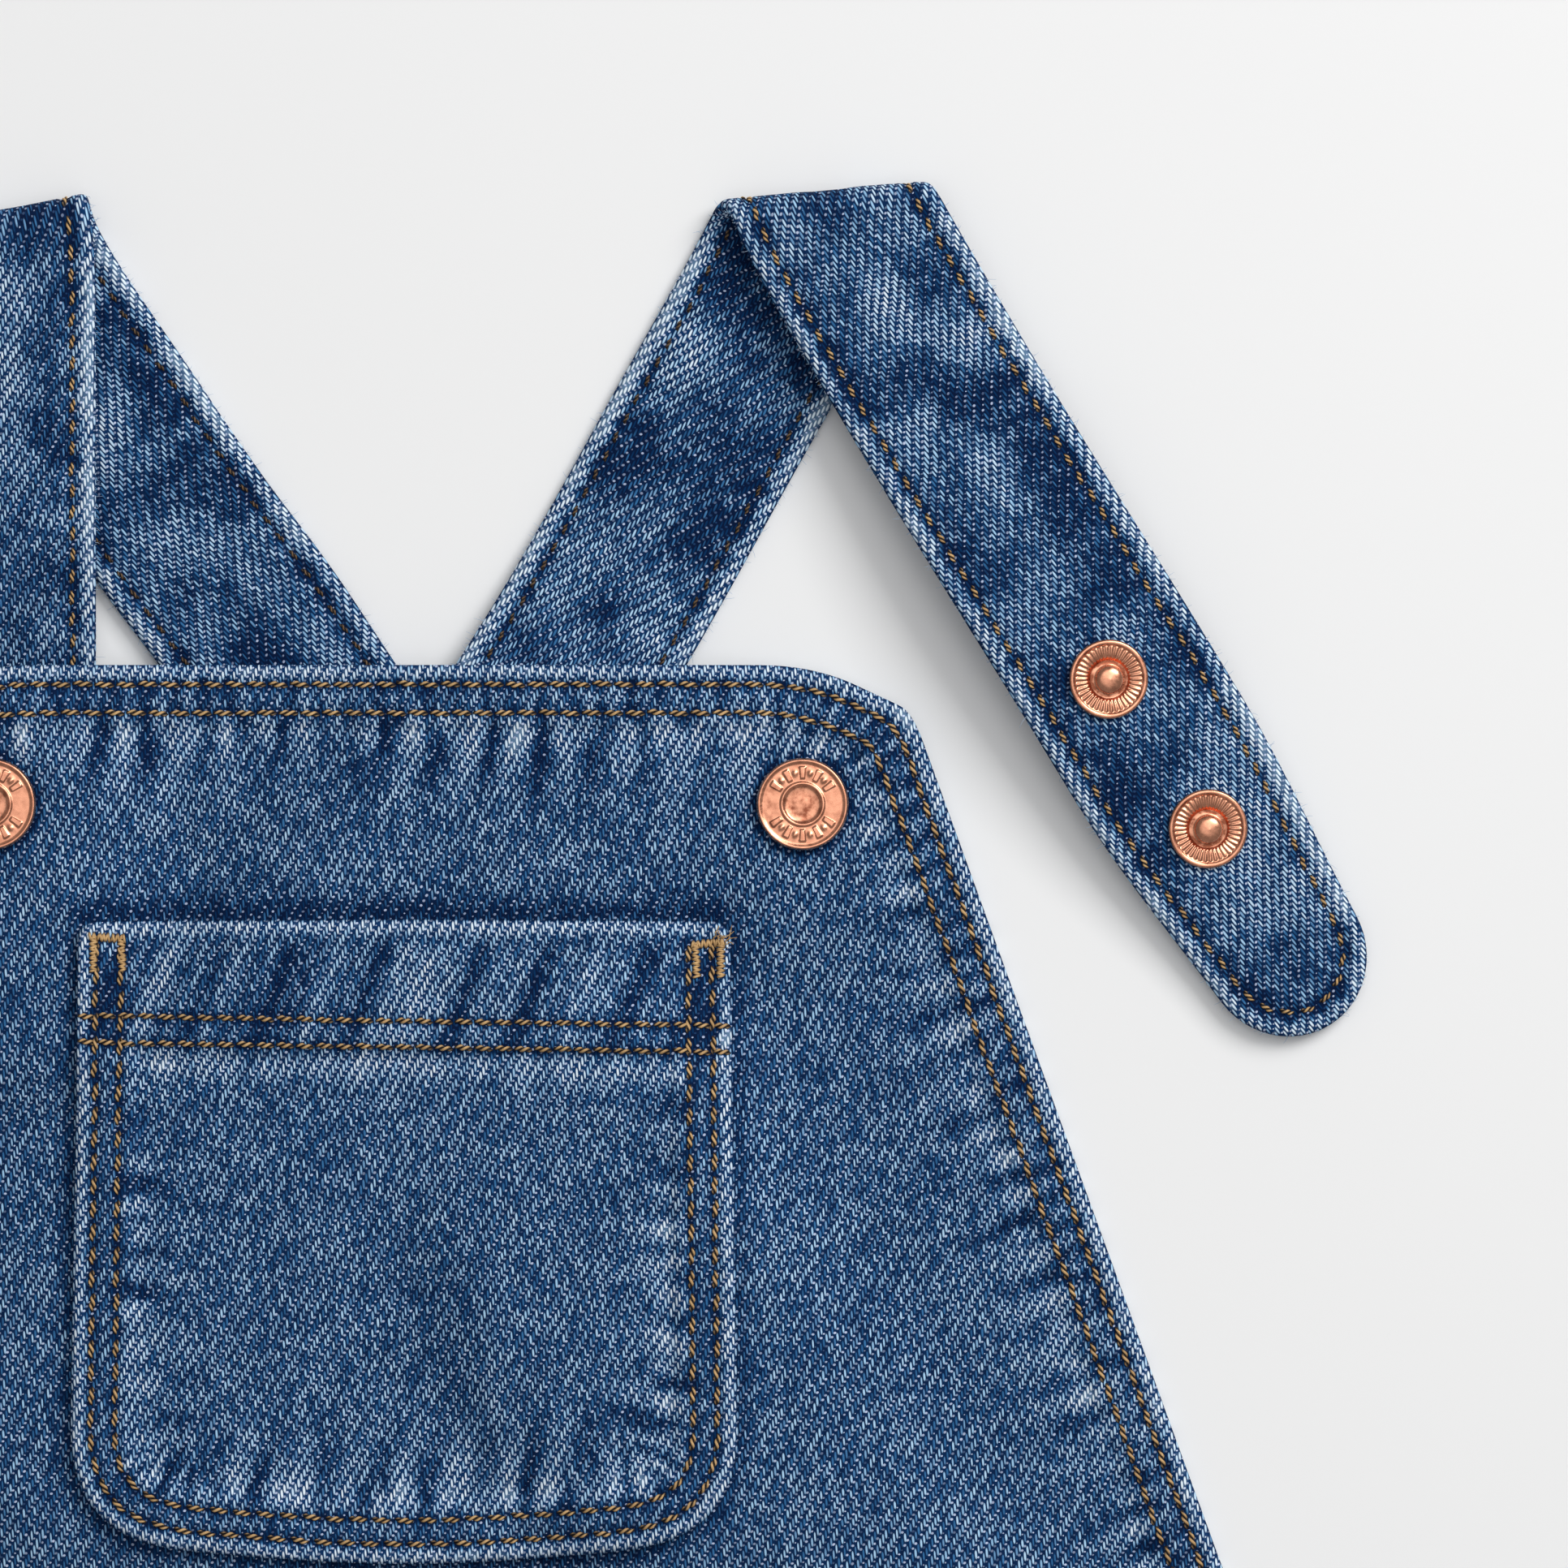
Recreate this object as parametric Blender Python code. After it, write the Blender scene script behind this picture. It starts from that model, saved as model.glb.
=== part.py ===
"""A baby's denim pinafore dress, laid flat on its back.

The back panel lies on the surface and the front panel, with its bib, lies on it. Both are A-line
and meet at the side seams. Two straps are sewn to the inside of the back panel's top edge. They
cross behind the bib, run out past its top edge and fold over. The left strap comes back down
behind the bib and is snapped to it. The right strap lies loose beside the bib, studs up.

Lengths below are in millimetres, in the garment's own plan: x is to the right of the centre line
as seen from the front, and y is up from the bib's top edge. z is the height over the surface.
"""

import math

import bpy
import numpy as np
from mathutils import Vector, geometry

METRES = 0.001
BIB_TOP_Y = 131.2  # the bib's top edge over the middle of the whole laid-out length

# Cloth
CLOTH = 1.0
TURNED = 2.0  # where an edge is turned under and sewn down
STRAP_THICK = 2.0  # two layers, turned right side out
SEAM_GAP = 0.3
EDGE_TURN = 7.0  # width of the turned edge round the bib, armholes and sides
HEM_TURN = 18.0
TURN_STEP = 1.4  # over this width the turned edge thins to a single layer

# Front and back panels, right half
BIB_STRAIGHT = 47.0  # half of the straight part of the bib's top edge
BIB_SLOPE_BEND = (53.5, 0.0)
BIB_SLOPE = (58.8, -2.3)
BIB_SHOULDER = (65.0, -5.2)
BIB_CORNER_BEND = (66.6, -5.9)
BIB_CORNER_END = (68.0, -9.6)
ARMHOLE_LOW = (106.4, -115.5)
UNDERARM_BEND = (113.5, -135.0)
UNDERARM = (124.0, -145.0)
HEM_SIDE = (165.0, -318.0)
HEM_MIDDLE_Y = -325.0
BACK_TOP_Y = -75.0
BACK_TOP_HALF = 43.0
BACK_CORNER = 4.0  # size of the rounded corner of the back's top edge
BACK_CURVE = [(55.0, -121.0), (88.0, -141.0)]  # control points of the back's armhole

# Bib pocket
POCKET_X = 1.0
POCKET_TOP_Y = -32.9
POCKET_HALF_TOP = 41.8
POCKET_HALF = 43.1
POCKET_CORNER_Y = -98.5
POCKET_CORNER_IN = 28.0
POCKET_LOW_Y = -114.6
POCKET_BOTTOM_Y = -116.4
POCKET_HEM = 16.5
POCKET_TURN = 7.0
POCKET_MOUTH_CORNER = 2.0  # size of the rounded corners of the pocket's mouth
POCKET_BOTTOM_BEND = 12.0
POCKET_MOUTH_LIFT = 1.0

# Straps
STRAP_HALF = 12.75
STRAP_END_HALF = 10.0
STRAP_TAPER = 42.0
STRAP_EDGE = 0.9  # how far in from the edge the strap reaches its full thickness
FOLD_RADIUS = 2.2  # of the middle of the strap where it folds over

# Snaps
SNAP_X = 52.5
SNAP_Y = -18.0
STUD_PITCH = 23.2
LAST_STUD_TO_END = 30.2
CAP_RADIUS = 6.0
CAP_THICK = 1.4
SOCKET_RADIUS = 5.0
SOCKET_THICK = 1.8
SOCKET_HOLE = 2.55
SOCKET_DEPTH = 1.5
STUD_RADIUS = 5.15
STUD_FLANGE = 0.7
STUD_BALL = 2.2
STUD_HEIGHT = 2.1
POST_RADIUS = 4.4
POST_THICK = 0.7
SNAP_PAD = 8.5  # radius of the level place that a snap sits on

# How far cloth takes to come down beside what it lies over
DRAPE = 21.0
BLEND = 6.0  # power of the smooth maximum that joins the heights over several pieces

GRID_STEP = 11.0
OUTLINE_STEP = 9.5

DENIM = (0.045, 0.105, 0.215)
COPPER = (0.80, 0.42, 0.28)


def smooth(t):
    t = np.clip(t, 0.0, 1.0)
    return t * t * (3.0 - 2.0 * t)


def material(name, colour, roughness, metallic):
    made = bpy.data.materials.new(name)
    made.use_nodes = True
    shader = made.node_tree.nodes["Principled BSDF"]
    shader.inputs["Base Color"].default_value = (*colour, 1.0)
    shader.inputs["Roughness"].default_value = roughness
    shader.inputs["Metallic"].default_value = metallic
    return made


def bezier(points, count):
    """Points along a Bezier curve of any degree, without its first point."""
    degree = len(points) - 1
    made = []
    for i in range(1, count + 1):
        t = i / count
        weights = [math.comb(degree, k) * t**k * (1 - t) ** (degree - k) for k in range(degree + 1)]
        made.append(tuple(sum(w * p[axis] for w, p in zip(weights, points)) for axis in (0, 1)))
    return made


def line(start, end, step=OUTLINE_STEP):
    """Points along a straight line, without its first point."""
    return bezier([start, end], max(1, round(math.dist(start, end) / step)))


def hem_curve():
    """The hem from the right side seam to the middle of the garment."""
    side_x, side_y = HEM_SIDE
    count = round(side_x / OUTLINE_STEP)
    rise = side_y - HEM_MIDDLE_Y
    xs = [side_x * (1 - i / count) for i in range(1, count + 1)]
    return [(x, HEM_MIDDLE_Y + rise * (x / side_x) ** 2) for x in xs]


def both_sides(right_half):
    """A closed outline from its right half, clockwise from the top middle to the bottom middle."""
    left_half = [(-x, y) for x, y in reversed(right_half[1:-1])]
    return np.array(right_half + left_half)


def front_outline():
    top_end = (BIB_STRAIGHT, 0.0)
    half = [(0.0, 0.0)]
    half += line(half[-1], top_end)
    half += bezier([top_end, BIB_SLOPE_BEND, BIB_SLOPE], 4)
    half += [BIB_SHOULDER]
    half += bezier([BIB_SHOULDER, BIB_CORNER_BEND, BIB_CORNER_END], 3)
    half += line(BIB_CORNER_END, ARMHOLE_LOW)
    half += bezier([ARMHOLE_LOW, UNDERARM_BEND, UNDERARM], 4)
    half += line(UNDERARM, HEM_SIDE)
    half += hem_curve()
    return both_sides(half)


def back_outline():
    top_end = (BACK_TOP_HALF, BACK_TOP_Y)
    corner_bend = (BACK_TOP_HALF + 0.75 * BACK_CORNER, BACK_TOP_Y)
    corner_end = (BACK_TOP_HALF + 0.875 * BACK_CORNER, BACK_TOP_Y - BACK_CORNER)
    half = [(0.0, BACK_TOP_Y)]
    half += line(half[-1], top_end)
    half += bezier([top_end, corner_bend, corner_end], 3)
    half += bezier([corner_end] + BACK_CURVE + [UNDERARM], 11)
    half += line(UNDERARM, HEM_SIDE)
    half += hem_curve()
    return both_sides(half)


def pocket_outline():
    """A patch with a straight mouth, round lower corners and a slightly bowed bottom."""
    mouth_end = (POCKET_HALF_TOP - POCKET_MOUTH_CORNER, POCKET_TOP_Y - 0.3)
    mouth_corner = (POCKET_HALF_TOP, POCKET_TOP_Y - 0.4)
    side_top = (POCKET_HALF_TOP + 0.4, POCKET_TOP_Y - 1.3 * POCKET_MOUTH_CORNER)
    side_low = (POCKET_HALF, POCKET_CORNER_Y)
    low = (POCKET_CORNER_IN, POCKET_LOW_Y)
    half = [(0.0, POCKET_TOP_Y)]
    half += line(half[-1], mouth_end, 8.0)
    half += bezier([mouth_end, mouth_corner, side_top], 2)
    half += line(side_top, side_low, 10.0)
    half += bezier([side_low, (POCKET_HALF + 0.4, POCKET_LOW_Y + 1.5), low], 5)
    half += bezier([low, (POCKET_BOTTOM_BEND, POCKET_BOTTOM_Y), (0.0, POCKET_BOTTOM_Y)], 3)
    return both_sides(half) + (POCKET_X, 0.0)


def distance_to_path(points, path, closed=True):
    """How far each point is from a path of straight pieces."""
    ends = np.roll(path, -1, axis=0) if closed else path[1:]
    starts = path if closed else path[:-1]
    along = ends - starts
    offset = points[:, None, :] - starts[None]
    t = np.clip((offset * along).sum(2) / (along * along).sum(1), 0.0, 1.0)
    return np.linalg.norm(offset - t[..., None] * along, axis=2).min(1)


def inside(points, outline):
    """Whether each point is inside a closed outline."""
    x, y = points[:, 0, None], points[:, 1, None]
    x0, y0 = outline[:, 0], outline[:, 1]
    x1, y1 = np.roll(x0, -1), np.roll(y0, -1)
    crosses = (y0 > y) != (y1 > y)
    with np.errstate(divide="ignore", invalid="ignore"):
        at = x0 + (y - y0) / (y1 - y0) * (x1 - x0)
    return (crosses & (x < at)).sum(1) % 2 == 1


def distance_outside(points, outline):
    return np.where(inside(points, outline), 0.0, distance_to_path(points, outline))


class Strap:
    """A strap of two layers that runs up from the back panel, folds over and comes down again.

    plan holds the middle of the strap as it lies, back leg and then front leg. The fold rolls about
    an axis through fold_at, turned fold_angle degrees from x. heights holds rows of
    (length along the strap from the fold, height of the strap's middle, tilt at its right edge).
    """

    def __init__(self, back_leg, front_leg, fold_at, fold_angle, heights):
        angle = math.radians(fold_angle)
        self.along = np.array([math.cos(angle), math.sin(angle)])
        self.away = np.array([-math.sin(angle), math.cos(angle)])
        self.fold_at = np.array(fold_at)
        unrolled = [np.array(p) for p in back_leg]
        for p in front_leg:
            a, q = self._in_fold_frame(np.array(p))
            unrolled.append(self.fold_at + a * self.along + (math.pi * FOLD_RADIUS - q) * self.away)
        self.middle = smooth_path(np.array(unrolled))
        steps = np.linalg.norm(np.diff(self.middle, axis=0), axis=1)
        self.length_at = np.concatenate([[0.0], np.cumsum(steps)])
        self.length = self.length_at[-1]
        _, q = self._in_fold_frame(self.middle)
        self.fold_length = np.interp(0.0, q, self.length_at)
        self.heights = np.array(heights)

    def _in_fold_frame(self, points):
        offset = points - self.fold_at
        return offset @ self.along, offset @ self.away

    def half_width(self, s):
        """Half the width at length s: it narrows over the taper and ends round."""
        left = self.length - s
        round_part = 1.0 - np.clip(left / STRAP_END_HALF, 0.0, 1.0)
        tapered = STRAP_END_HALF + (STRAP_HALF - STRAP_END_HALF) * smooth(left / STRAP_TAPER)
        return tapered * np.sqrt(1.0 - round_part**2)

    def surface(self, s, w, h=0.0):
        """The point at length s, w to the right of the middle and h out of its inner face, as it lies."""
        s, w, h = np.broadcast_arrays(np.asarray(s, float), w, h)
        place = np.stack([np.interp(s, self.length_at, self.middle[:, i]) for i in (0, 1)], -1)
        ahead = np.stack([np.interp(s + 0.5, self.length_at, self.middle[:, i]) for i in (0, 1)], -1)
        behind = np.stack([np.interp(s - 0.5, self.length_at, self.middle[:, i]) for i in (0, 1)], -1)
        heading = ahead - behind
        heading /= np.linalg.norm(heading, axis=-1, keepdims=True)
        right = np.stack([heading[..., 1], -heading[..., 0]], -1)
        a, q = self._in_fold_frame(place + w[..., None] * right)
        turn = np.clip(q / FOLD_RADIUS, 0.0, math.pi)
        rolled = np.where(turn < math.pi, FOLD_RADIUS * np.sin(turn), math.pi * FOLD_RADIUS - q)
        out = np.where(q <= 0, q, rolled)
        plan = self.fold_at + a[..., None] * self.along + out[..., None] * self.away
        plan = plan - (h * np.sin(turn))[..., None] * self.away
        from_fold = s - self.fold_length
        level = eased(from_fold, self.heights[:, 0], self.heights[:, 1])
        tilt = eased(from_fold, self.heights[:, 0], self.heights[:, 2]) * w / STRAP_HALF
        z = level + tilt + FOLD_RADIUS * (1.0 - np.cos(turn)) + h * np.cos(turn)
        return np.concatenate([plan, z[..., None]], -1)


def eased(at, rows, values):
    """Values between rows, with a soft start and end to each step."""
    low = np.clip(np.searchsorted(rows, at, side="right") - 1, 0, len(rows) - 2)
    t = smooth((at - rows[low]) / (rows[low + 1] - rows[low]))
    return values[low] + (values[low + 1] - values[low]) * t


def smooth_path(points, step=1.0):
    """A smooth curve through the points, as points about step apart."""
    before = 2 * points[0] - points[1]
    after = 2 * points[-1] - points[-2]
    p = np.vstack([before, points, after])
    made = [points[0]]
    for i in range(1, len(p) - 2):
        count = max(2, round(np.linalg.norm(p[i + 1] - p[i]) / step))
        for t in np.arange(1, count + 1) / count:
            a = 2 * p[i] + (p[i + 1] - p[i - 1]) * t
            b = (2 * p[i - 1] - 5 * p[i] + 4 * p[i + 1] - p[i + 2]) * t**2
            c = (3 * p[i] - p[i - 1] - 3 * p[i + 1] + p[i + 2]) * t**3
            made.append((a + b + c) / 2)
    return np.array(made)


def make_straps():
    rest = STRAP_THICK / 2
    over_back = TURNED + SEAM_GAP + rest
    over_strap = STRAP_THICK + SEAM_GAP + rest
    on_post = POST_THICK + SEAM_GAP + rest
    roll = 2 * FOLD_RADIUS
    right = Strap(
        back_leg=[(-38.0, -97.0), (-25.5, -75.0), (-1.5, -37.0), (22.6, 0.0), (39.4, 29.5), (53.0, 54.5)],
        front_leg=[(58.8, 55.0), (73.7, 29.5), (92.8, -1.4), (104.9, -21.2), (120.9, -46.6)],
        fold_at=(56.0, 58.4),
        fold_angle=5.0,
        # from the fold, height, tilt
        heights=[
            (-200.0, over_back, 0.0),
            (-76.0, over_strap, 0.0),
            (-46.0, rest, 0.0),
            (6.0, rest, 0.0),
            (58.0, rest + 2.4, -1.2),
            (126.0, on_post - roll, 0.0),
        ],
    )
    left_rise = [(38.0, -97.0), (25.5, -75.0), (5.8, -34.0), (-15.4, 0.0)]
    left_top = [(-27.6, 16.8), (-36.3, 29.5), (-50.0, 50.5)]
    left = Strap(
        back_leg=left_rise + left_top,
        front_leg=[(-51.9, 53.0), (-51.7, 30.0), (-51.8, 0.0), (-52.5, -18.0), (-52.6, -71.4)],
        fold_at=(-51.4, 55.7),
        fold_angle=11.5,
        # from the fold, height, tilt
        heights=[
            (-200.0, over_back, 0.0),
            (-144.0, over_back, 0.0),
            (-127.0, rest, 0.0),
            (44.0, rest, 0.0),
            (70.0, on_post - roll, 0.0),
            (140.0, on_post - roll, 0.0),
        ],
    )
    return left, right


def pad(points, path, heights, half):
    """How high cloth has to lie to clear something of this half width along a path."""
    away = np.linalg.norm(points[:, None, :] - path[None], axis=2) - half
    return (heights * smooth(1.0 - away / DRAPE)).max(1)


class Layers:
    """The height of the underside of the front panel, over all that lies beneath it."""

    def __init__(self, left, right, back):
        self.back = back
        self.pads = []
        for strap in (left, right):
            s = np.arange(0.0, strap.length, 3.0)
            middle = strap.surface(s, 0.0)
            under = middle[:, 1] < 6.0
            beside = (s > strap.fold_length) & (middle[:, 0] > 0)
            keep = under & ~beside
            top = middle[keep, 2] + STRAP_THICK / 2 + 2 * SEAM_GAP
            self.pads.append((middle[keep, :2], top, STRAP_HALF + 1.5))
        left_snap = snap_stack(on_strap=True)["bib"]
        right_snap = snap_stack(on_strap=False)["bib"]
        studs = np.array([(-SNAP_X, SNAP_Y - STUD_PITCH * share) for share in (0.0, 0.5, 1.0)])
        self.pads.append((studs, np.full(3, left_snap), SNAP_PAD))
        self.pads.append((np.array([(SNAP_X, SNAP_Y)]), np.array([right_snap]), SNAP_PAD))

    def under_front(self, points):
        over_back = CLOTH + 2 * SEAM_GAP
        near_hem = smooth(1.0 - (points[:, 1] - HEM_MIDDLE_Y - HEM_TURN - 8.0) / 14.0)
        turned = smooth(1.0 - (distance_to_path(points, self.back) - EDGE_TURN - 3.0) / 8.0)
        over_back = over_back + (TURNED - CLOTH) * np.maximum(near_hem, turned)
        base = over_back * smooth(1.0 - distance_outside(points, self.back) / DRAPE)
        layers = np.array([base] + [pad(points, *p) for p in self.pads])
        return (layers**BLEND).sum(0) ** (1.0 / BLEND)


def snap_stack(on_strap):
    """Heights of the undersides of the pieces at a bib snap, from the surface up."""
    made, z = {}, 0.0
    if on_strap:
        made["post"] = z
        z += POST_THICK + SEAM_GAP
        made["strap"] = z
        z += STRAP_THICK + SEAM_GAP
        made["stud"] = z
        z += STUD_FLANGE + SEAM_GAP
    made["socket"] = z
    z += SOCKET_THICK + SEAM_GAP
    made["bib"] = z
    z += CLOTH + SEAM_GAP
    made["cap"] = z
    return made


def turned_thickness(points, edge, hem=None, mouth=None):
    """Wall thickness: double along the turned edge, and over the hem or the pocket's mouth."""
    double = smooth((EDGE_TURN + TURN_STEP - distance_to_path(points, edge)) / TURN_STEP)
    if hem is not None:
        from_hem = distance_to_path(points, hem, closed=False)
        double = np.maximum(double, smooth((HEM_TURN + TURN_STEP - from_hem) / TURN_STEP))
    if mouth is not None:
        double = np.maximum(double, smooth((mouth + TURN_STEP - (POCKET_TOP_Y - points[:, 1])) / TURN_STEP))
    return CLOTH + (TURNED - CLOTH) * double


def inset(outline, depth):
    """The outline moved in by depth, without points that come too near another part of it."""
    ahead = np.roll(outline, -1, axis=0) - outline
    behind = outline - np.roll(outline, 1, axis=0)
    heading = ahead / np.linalg.norm(ahead, axis=1, keepdims=True)
    heading = heading + behind / np.linalg.norm(behind, axis=1, keepdims=True)
    heading /= np.linalg.norm(heading, axis=1, keepdims=True)
    moved = outline + depth * np.stack([heading[:, 1], -heading[:, 0]], 1)
    keep = inside(moved, outline) & (distance_to_path(moved, outline) > 0.9 * depth)
    return moved[keep]


def grid_inside(outline, margin, step, lines=()):
    """Points of a triangular grid, clear of the outline and of other lines by margin."""
    low, high = outline.min(0), outline.max(0)
    rows = np.arange(low[1], high[1], step * 0.87)
    points = [
        (x, y) for i, y in enumerate(rows) for x in np.arange(low[0] + (i % 2) * step / 2, high[0], step)
    ]
    points = np.array(points)
    points = points[inside(points, outline)]
    keep = distance_to_path(points, outline) > margin
    for other in lines:
        keep &= distance_to_path(points, other) > step * 0.45
    return points[keep]


def triangulated(outline, inner_loops, loose_points):
    """Triangles that fill an outline, with the inner loops as lines in the mesh."""
    points = [outline] + list(inner_loops) + [loose_points]
    edges, start = [], 0
    for loop in [outline] + list(inner_loops):
        n = len(loop)
        edges += [(start + i, start + (i + 1) % n) for i in range(n)]
        start += n
    flat = np.vstack(points)
    made = geometry.delaunay_2d_cdt([Vector(p) for p in flat], edges, [], 0, 1e-4)
    verts = np.array([tuple(v) for v in made[0]])
    faces = np.array([list(f) for f in made[2]])
    centres = verts[faces].mean(1)
    return verts, faces[inside(centres, outline)]


def rim_of(faces):
    """The edges that belong to one face only, in that face's direction."""
    ends = np.concatenate([faces[:, [0, 1]], faces[:, [1, 2]], faces[:, [2, 0]]])
    _, index, uses = np.unique(np.sort(ends, axis=1), axis=0, return_inverse=True, return_counts=True)
    return ends[uses[index.reshape(-1)] == 1]


def cloth_object(name, plan, faces, bottom, top, look):
    """A closed wall between two height fields over one set of triangles."""
    used, faces = np.unique(faces, return_inverse=True)
    faces = faces.reshape(-1, 3)
    plan, bottom, top = plan[used], bottom[used], top[used]
    a, b, c = (plan[faces[:, i]] for i in range(3))
    clockwise = (b[:, 0] - a[:, 0]) * (c[:, 1] - a[:, 1]) < (b[:, 1] - a[:, 1]) * (c[:, 0] - a[:, 0])
    faces[clockwise] = faces[clockwise][:, ::-1]
    n = len(plan)
    verts = np.vstack([np.column_stack([plan, bottom]), np.column_stack([plan, top])])
    walls = [(i, j, j + n, i + n) for i, j in rim_of(faces)]
    polygons = [tuple(f[::-1]) for f in faces] + [tuple(f + n) for f in faces] + walls
    return mesh_object(name, verts, polygons, look)


def mesh_object(name, verts, polygons, look, place=(0.0, 0.0, 0.0)):
    """An object from points in garment millimetres; place is its origin there."""
    mesh = bpy.data.meshes.new(name)
    points = [tuple(METRES * float(x) for x in v) for v in verts]
    mesh.from_pydata(points, [], [tuple(map(int, p)) for p in polygons])
    mesh.materials.append(look)
    mesh.validate()
    made = bpy.data.objects.new(name, mesh)
    made.location = (METRES * place[0], METRES * (place[1] + BIB_TOP_Y), METRES * place[2])
    bpy.context.scene.collection.objects.link(made)
    return made


def hem_line():
    half = [HEM_SIDE] + hem_curve()
    return np.array(half + [(-x, y) for x, y in reversed(half[:-1])])


def hem_step(hem):
    """Points along both sides of the step where the turned hem ends."""
    middle = hem[2:-2]
    return np.vstack([middle + (0.0, HEM_TURN), middle + (0.0, HEM_TURN + TURN_STEP)])


def make_back(outline, look):
    rings = [inset(outline, EDGE_TURN), inset(outline, EDGE_TURN + TURN_STEP)]
    hem = hem_line()
    plan, faces = triangulated(outline, rings, hem_step(hem))
    bottom = np.zeros(len(plan))
    return cloth_object("back_panel", plan, faces, bottom, turned_thickness(plan, outline, hem), look)


def make_front_and_pocket(outline, layers, look):
    """The pocket is made from the front panel's own points inside its outline, moved up."""
    rings = [inset(outline, EDGE_TURN), inset(outline, EDGE_TURN + TURN_STEP)]
    pocket = pocket_outline()
    pocket_ring = inset(pocket, POCKET_TURN)
    hem = hem_line()
    loops = rings + [pocket, pocket_ring]
    grid = grid_inside(outline, EDGE_TURN + TURN_STEP + 3.0, GRID_STEP, [pocket, pocket_ring])
    grid = grid[distance_to_path(grid, hem, closed=False) > HEM_TURN + TURN_STEP + 3.0]
    plan, faces = triangulated(outline, loops, np.vstack([grid, hem_step(hem)]))
    bottom = layers.under_front(plan)
    top = bottom + turned_thickness(plan, outline, hem)
    cloth_object("front_panel", plan, faces, bottom, top, look)

    on_pocket = faces[inside(plan[faces].mean(1), pocket)]
    down = POCKET_TOP_Y - plan[:, 1]
    across = np.clip(1.0 - ((plan[:, 0] - POCKET_X) / (POCKET_HALF - 4.0)) ** 2, 0.0, 1.0)
    lift = SEAM_GAP + POCKET_MOUTH_LIFT * across * smooth(1.0 - down / 45.0)
    under = top + lift
    over = under + turned_thickness(plan, pocket, mouth=POCKET_HEM)
    cloth_object("bib_pocket", plan, on_pocket, under, over, look)


def make_strap(name, strap, look):
    """Sections across the strap, closer together round the fold and the end."""
    fold, length = strap.fold_length, strap.length
    spread = 1.3 * STRAP_HALF
    stations = list(np.linspace(0.0, fold - spread, 26)[:-1])
    stations += list(np.linspace(fold - spread, fold + spread + 4 * FOLD_RADIUS, 34)[:-1])
    stations += list(np.linspace(fold + spread + 4 * FOLD_RADIUS, length - STRAP_END_HALF, 13)[:-1])
    turns = np.linspace(0.0, 0.985 * math.pi / 2, 7)
    stations += [length - STRAP_END_HALF * (1 - math.sin(turn)) for turn in turns]
    half_thick = STRAP_THICK / 2
    rows = []
    for s in stations:
        half = float(strap.half_width(s))
        edge = min(STRAP_EDGE, 0.3 * half)
        outer = [-half, -half + edge, -half / 2, 0.0, half / 2, half - edge, half]
        inner = [half - edge, half / 2, 0.0, -half / 2, -half + edge]
        w = np.array(outer + inner)
        h = np.array([0.0] + [half_thick] * 5 + [0.0] + [-half_thick] * 5)
        rows.append(strap.surface(np.full(len(w), s), w, h))
    verts = np.vstack(rows)
    n, count = len(rows[0]), len(rows)
    polygons = [tuple(range(n))[::-1], tuple((count - 1) * n + i for i in range(n))]
    for r in range(count - 1):
        for i in range(n):
            j = (i + 1) % n
            polygons.append((r * n + i, r * n + j, (r + 1) * n + j, (r + 1) * n + i))
    mesh_object(name, verts, polygons, look)


def turned(name, profile, sides, place, look, normal=(0.0, 0.0, 1.0)):
    """A body of revolution from (radius, height) rows, from the bottom of its axis round to the top."""
    verts = []
    rings = []
    for radius, height in profile:
        if radius == 0.0:
            rings.append([len(verts)])
            verts.append((0.0, 0.0, height))
            continue
        rings.append(list(range(len(verts), len(verts) + sides)))
        for i in range(sides):
            a = 2 * math.pi * i / sides
            verts.append((radius * math.cos(a), radius * math.sin(a), height))
    polygons = []
    for low, high in zip(rings, rings[1:]):
        for i in range(sides):
            j = (i + 1) % sides
            if len(low) == 1:
                polygons.append((low[0], high[j], high[i]))
            elif len(high) == 1:
                polygons.append((low[i], low[j], high[0]))
            else:
                polygons.append((low[i], low[j], high[j], high[i]))
    made = mesh_object(name, verts, polygons, look, place)
    made.rotation_mode = "QUATERNION"
    made.rotation_quaternion = Vector((0.0, 0.0, 1.0)).rotation_difference(Vector(normal))
    made.data.shade_smooth()
    made.data.set_sharp_from_angle(angle=math.radians(40))
    return made


def cap_profile():
    """A shallow dish with a rolled rim and a raised disc in the middle."""
    r, t = CAP_RADIUS, CAP_THICK
    return [
        (0.0, 0.0),
        (r - 0.5, 0.0),
        (r, 0.45),
        (r - 0.35, t - 0.25),
        (r - 0.9, t - 0.1),
        (0.5 * r, t - 0.35),
        (0.44 * r, t),
        (0.38 * r, t - 0.1),
        (0.0, t - 0.15),
    ]


def socket_profile():
    """A ring with a blind hole in its underside for the stud's ball."""
    r, t = SOCKET_RADIUS, SOCKET_THICK
    return [
        (0.0, SOCKET_DEPTH),
        (SOCKET_HOLE, SOCKET_DEPTH),
        (SOCKET_HOLE, 0.0),
        (r - 0.4, 0.0),
        (r, 0.5),
        (r, t - 0.4),
        (r - 0.4, t),
        (0.0, t),
    ]


def stud_profile():
    """A flange with a raised rim and a dished ring, and a ball on a neck in the middle."""
    r, f = STUD_RADIUS, STUD_FLANGE
    return [
        (0.0, 0.0),
        (r - 0.25, 0.0),
        (r, 0.3),
        (r - 0.3, f),
        (r - 0.75, f - 0.15),
        (STUD_BALL + 0.5, f - 0.35),
        (STUD_BALL - 0.35, f - 0.3),
        (STUD_BALL, f + 0.5),
        (STUD_BALL - 0.5, STUD_HEIGHT - 0.25),
        (0.0, STUD_HEIGHT),
    ]


def post_profile():
    r, t = POST_RADIUS, POST_THICK
    return [(0.0, 0.0), (r - 0.3, 0.0), (r, 0.3), (r - 0.3, t), (0.0, t)]


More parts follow.
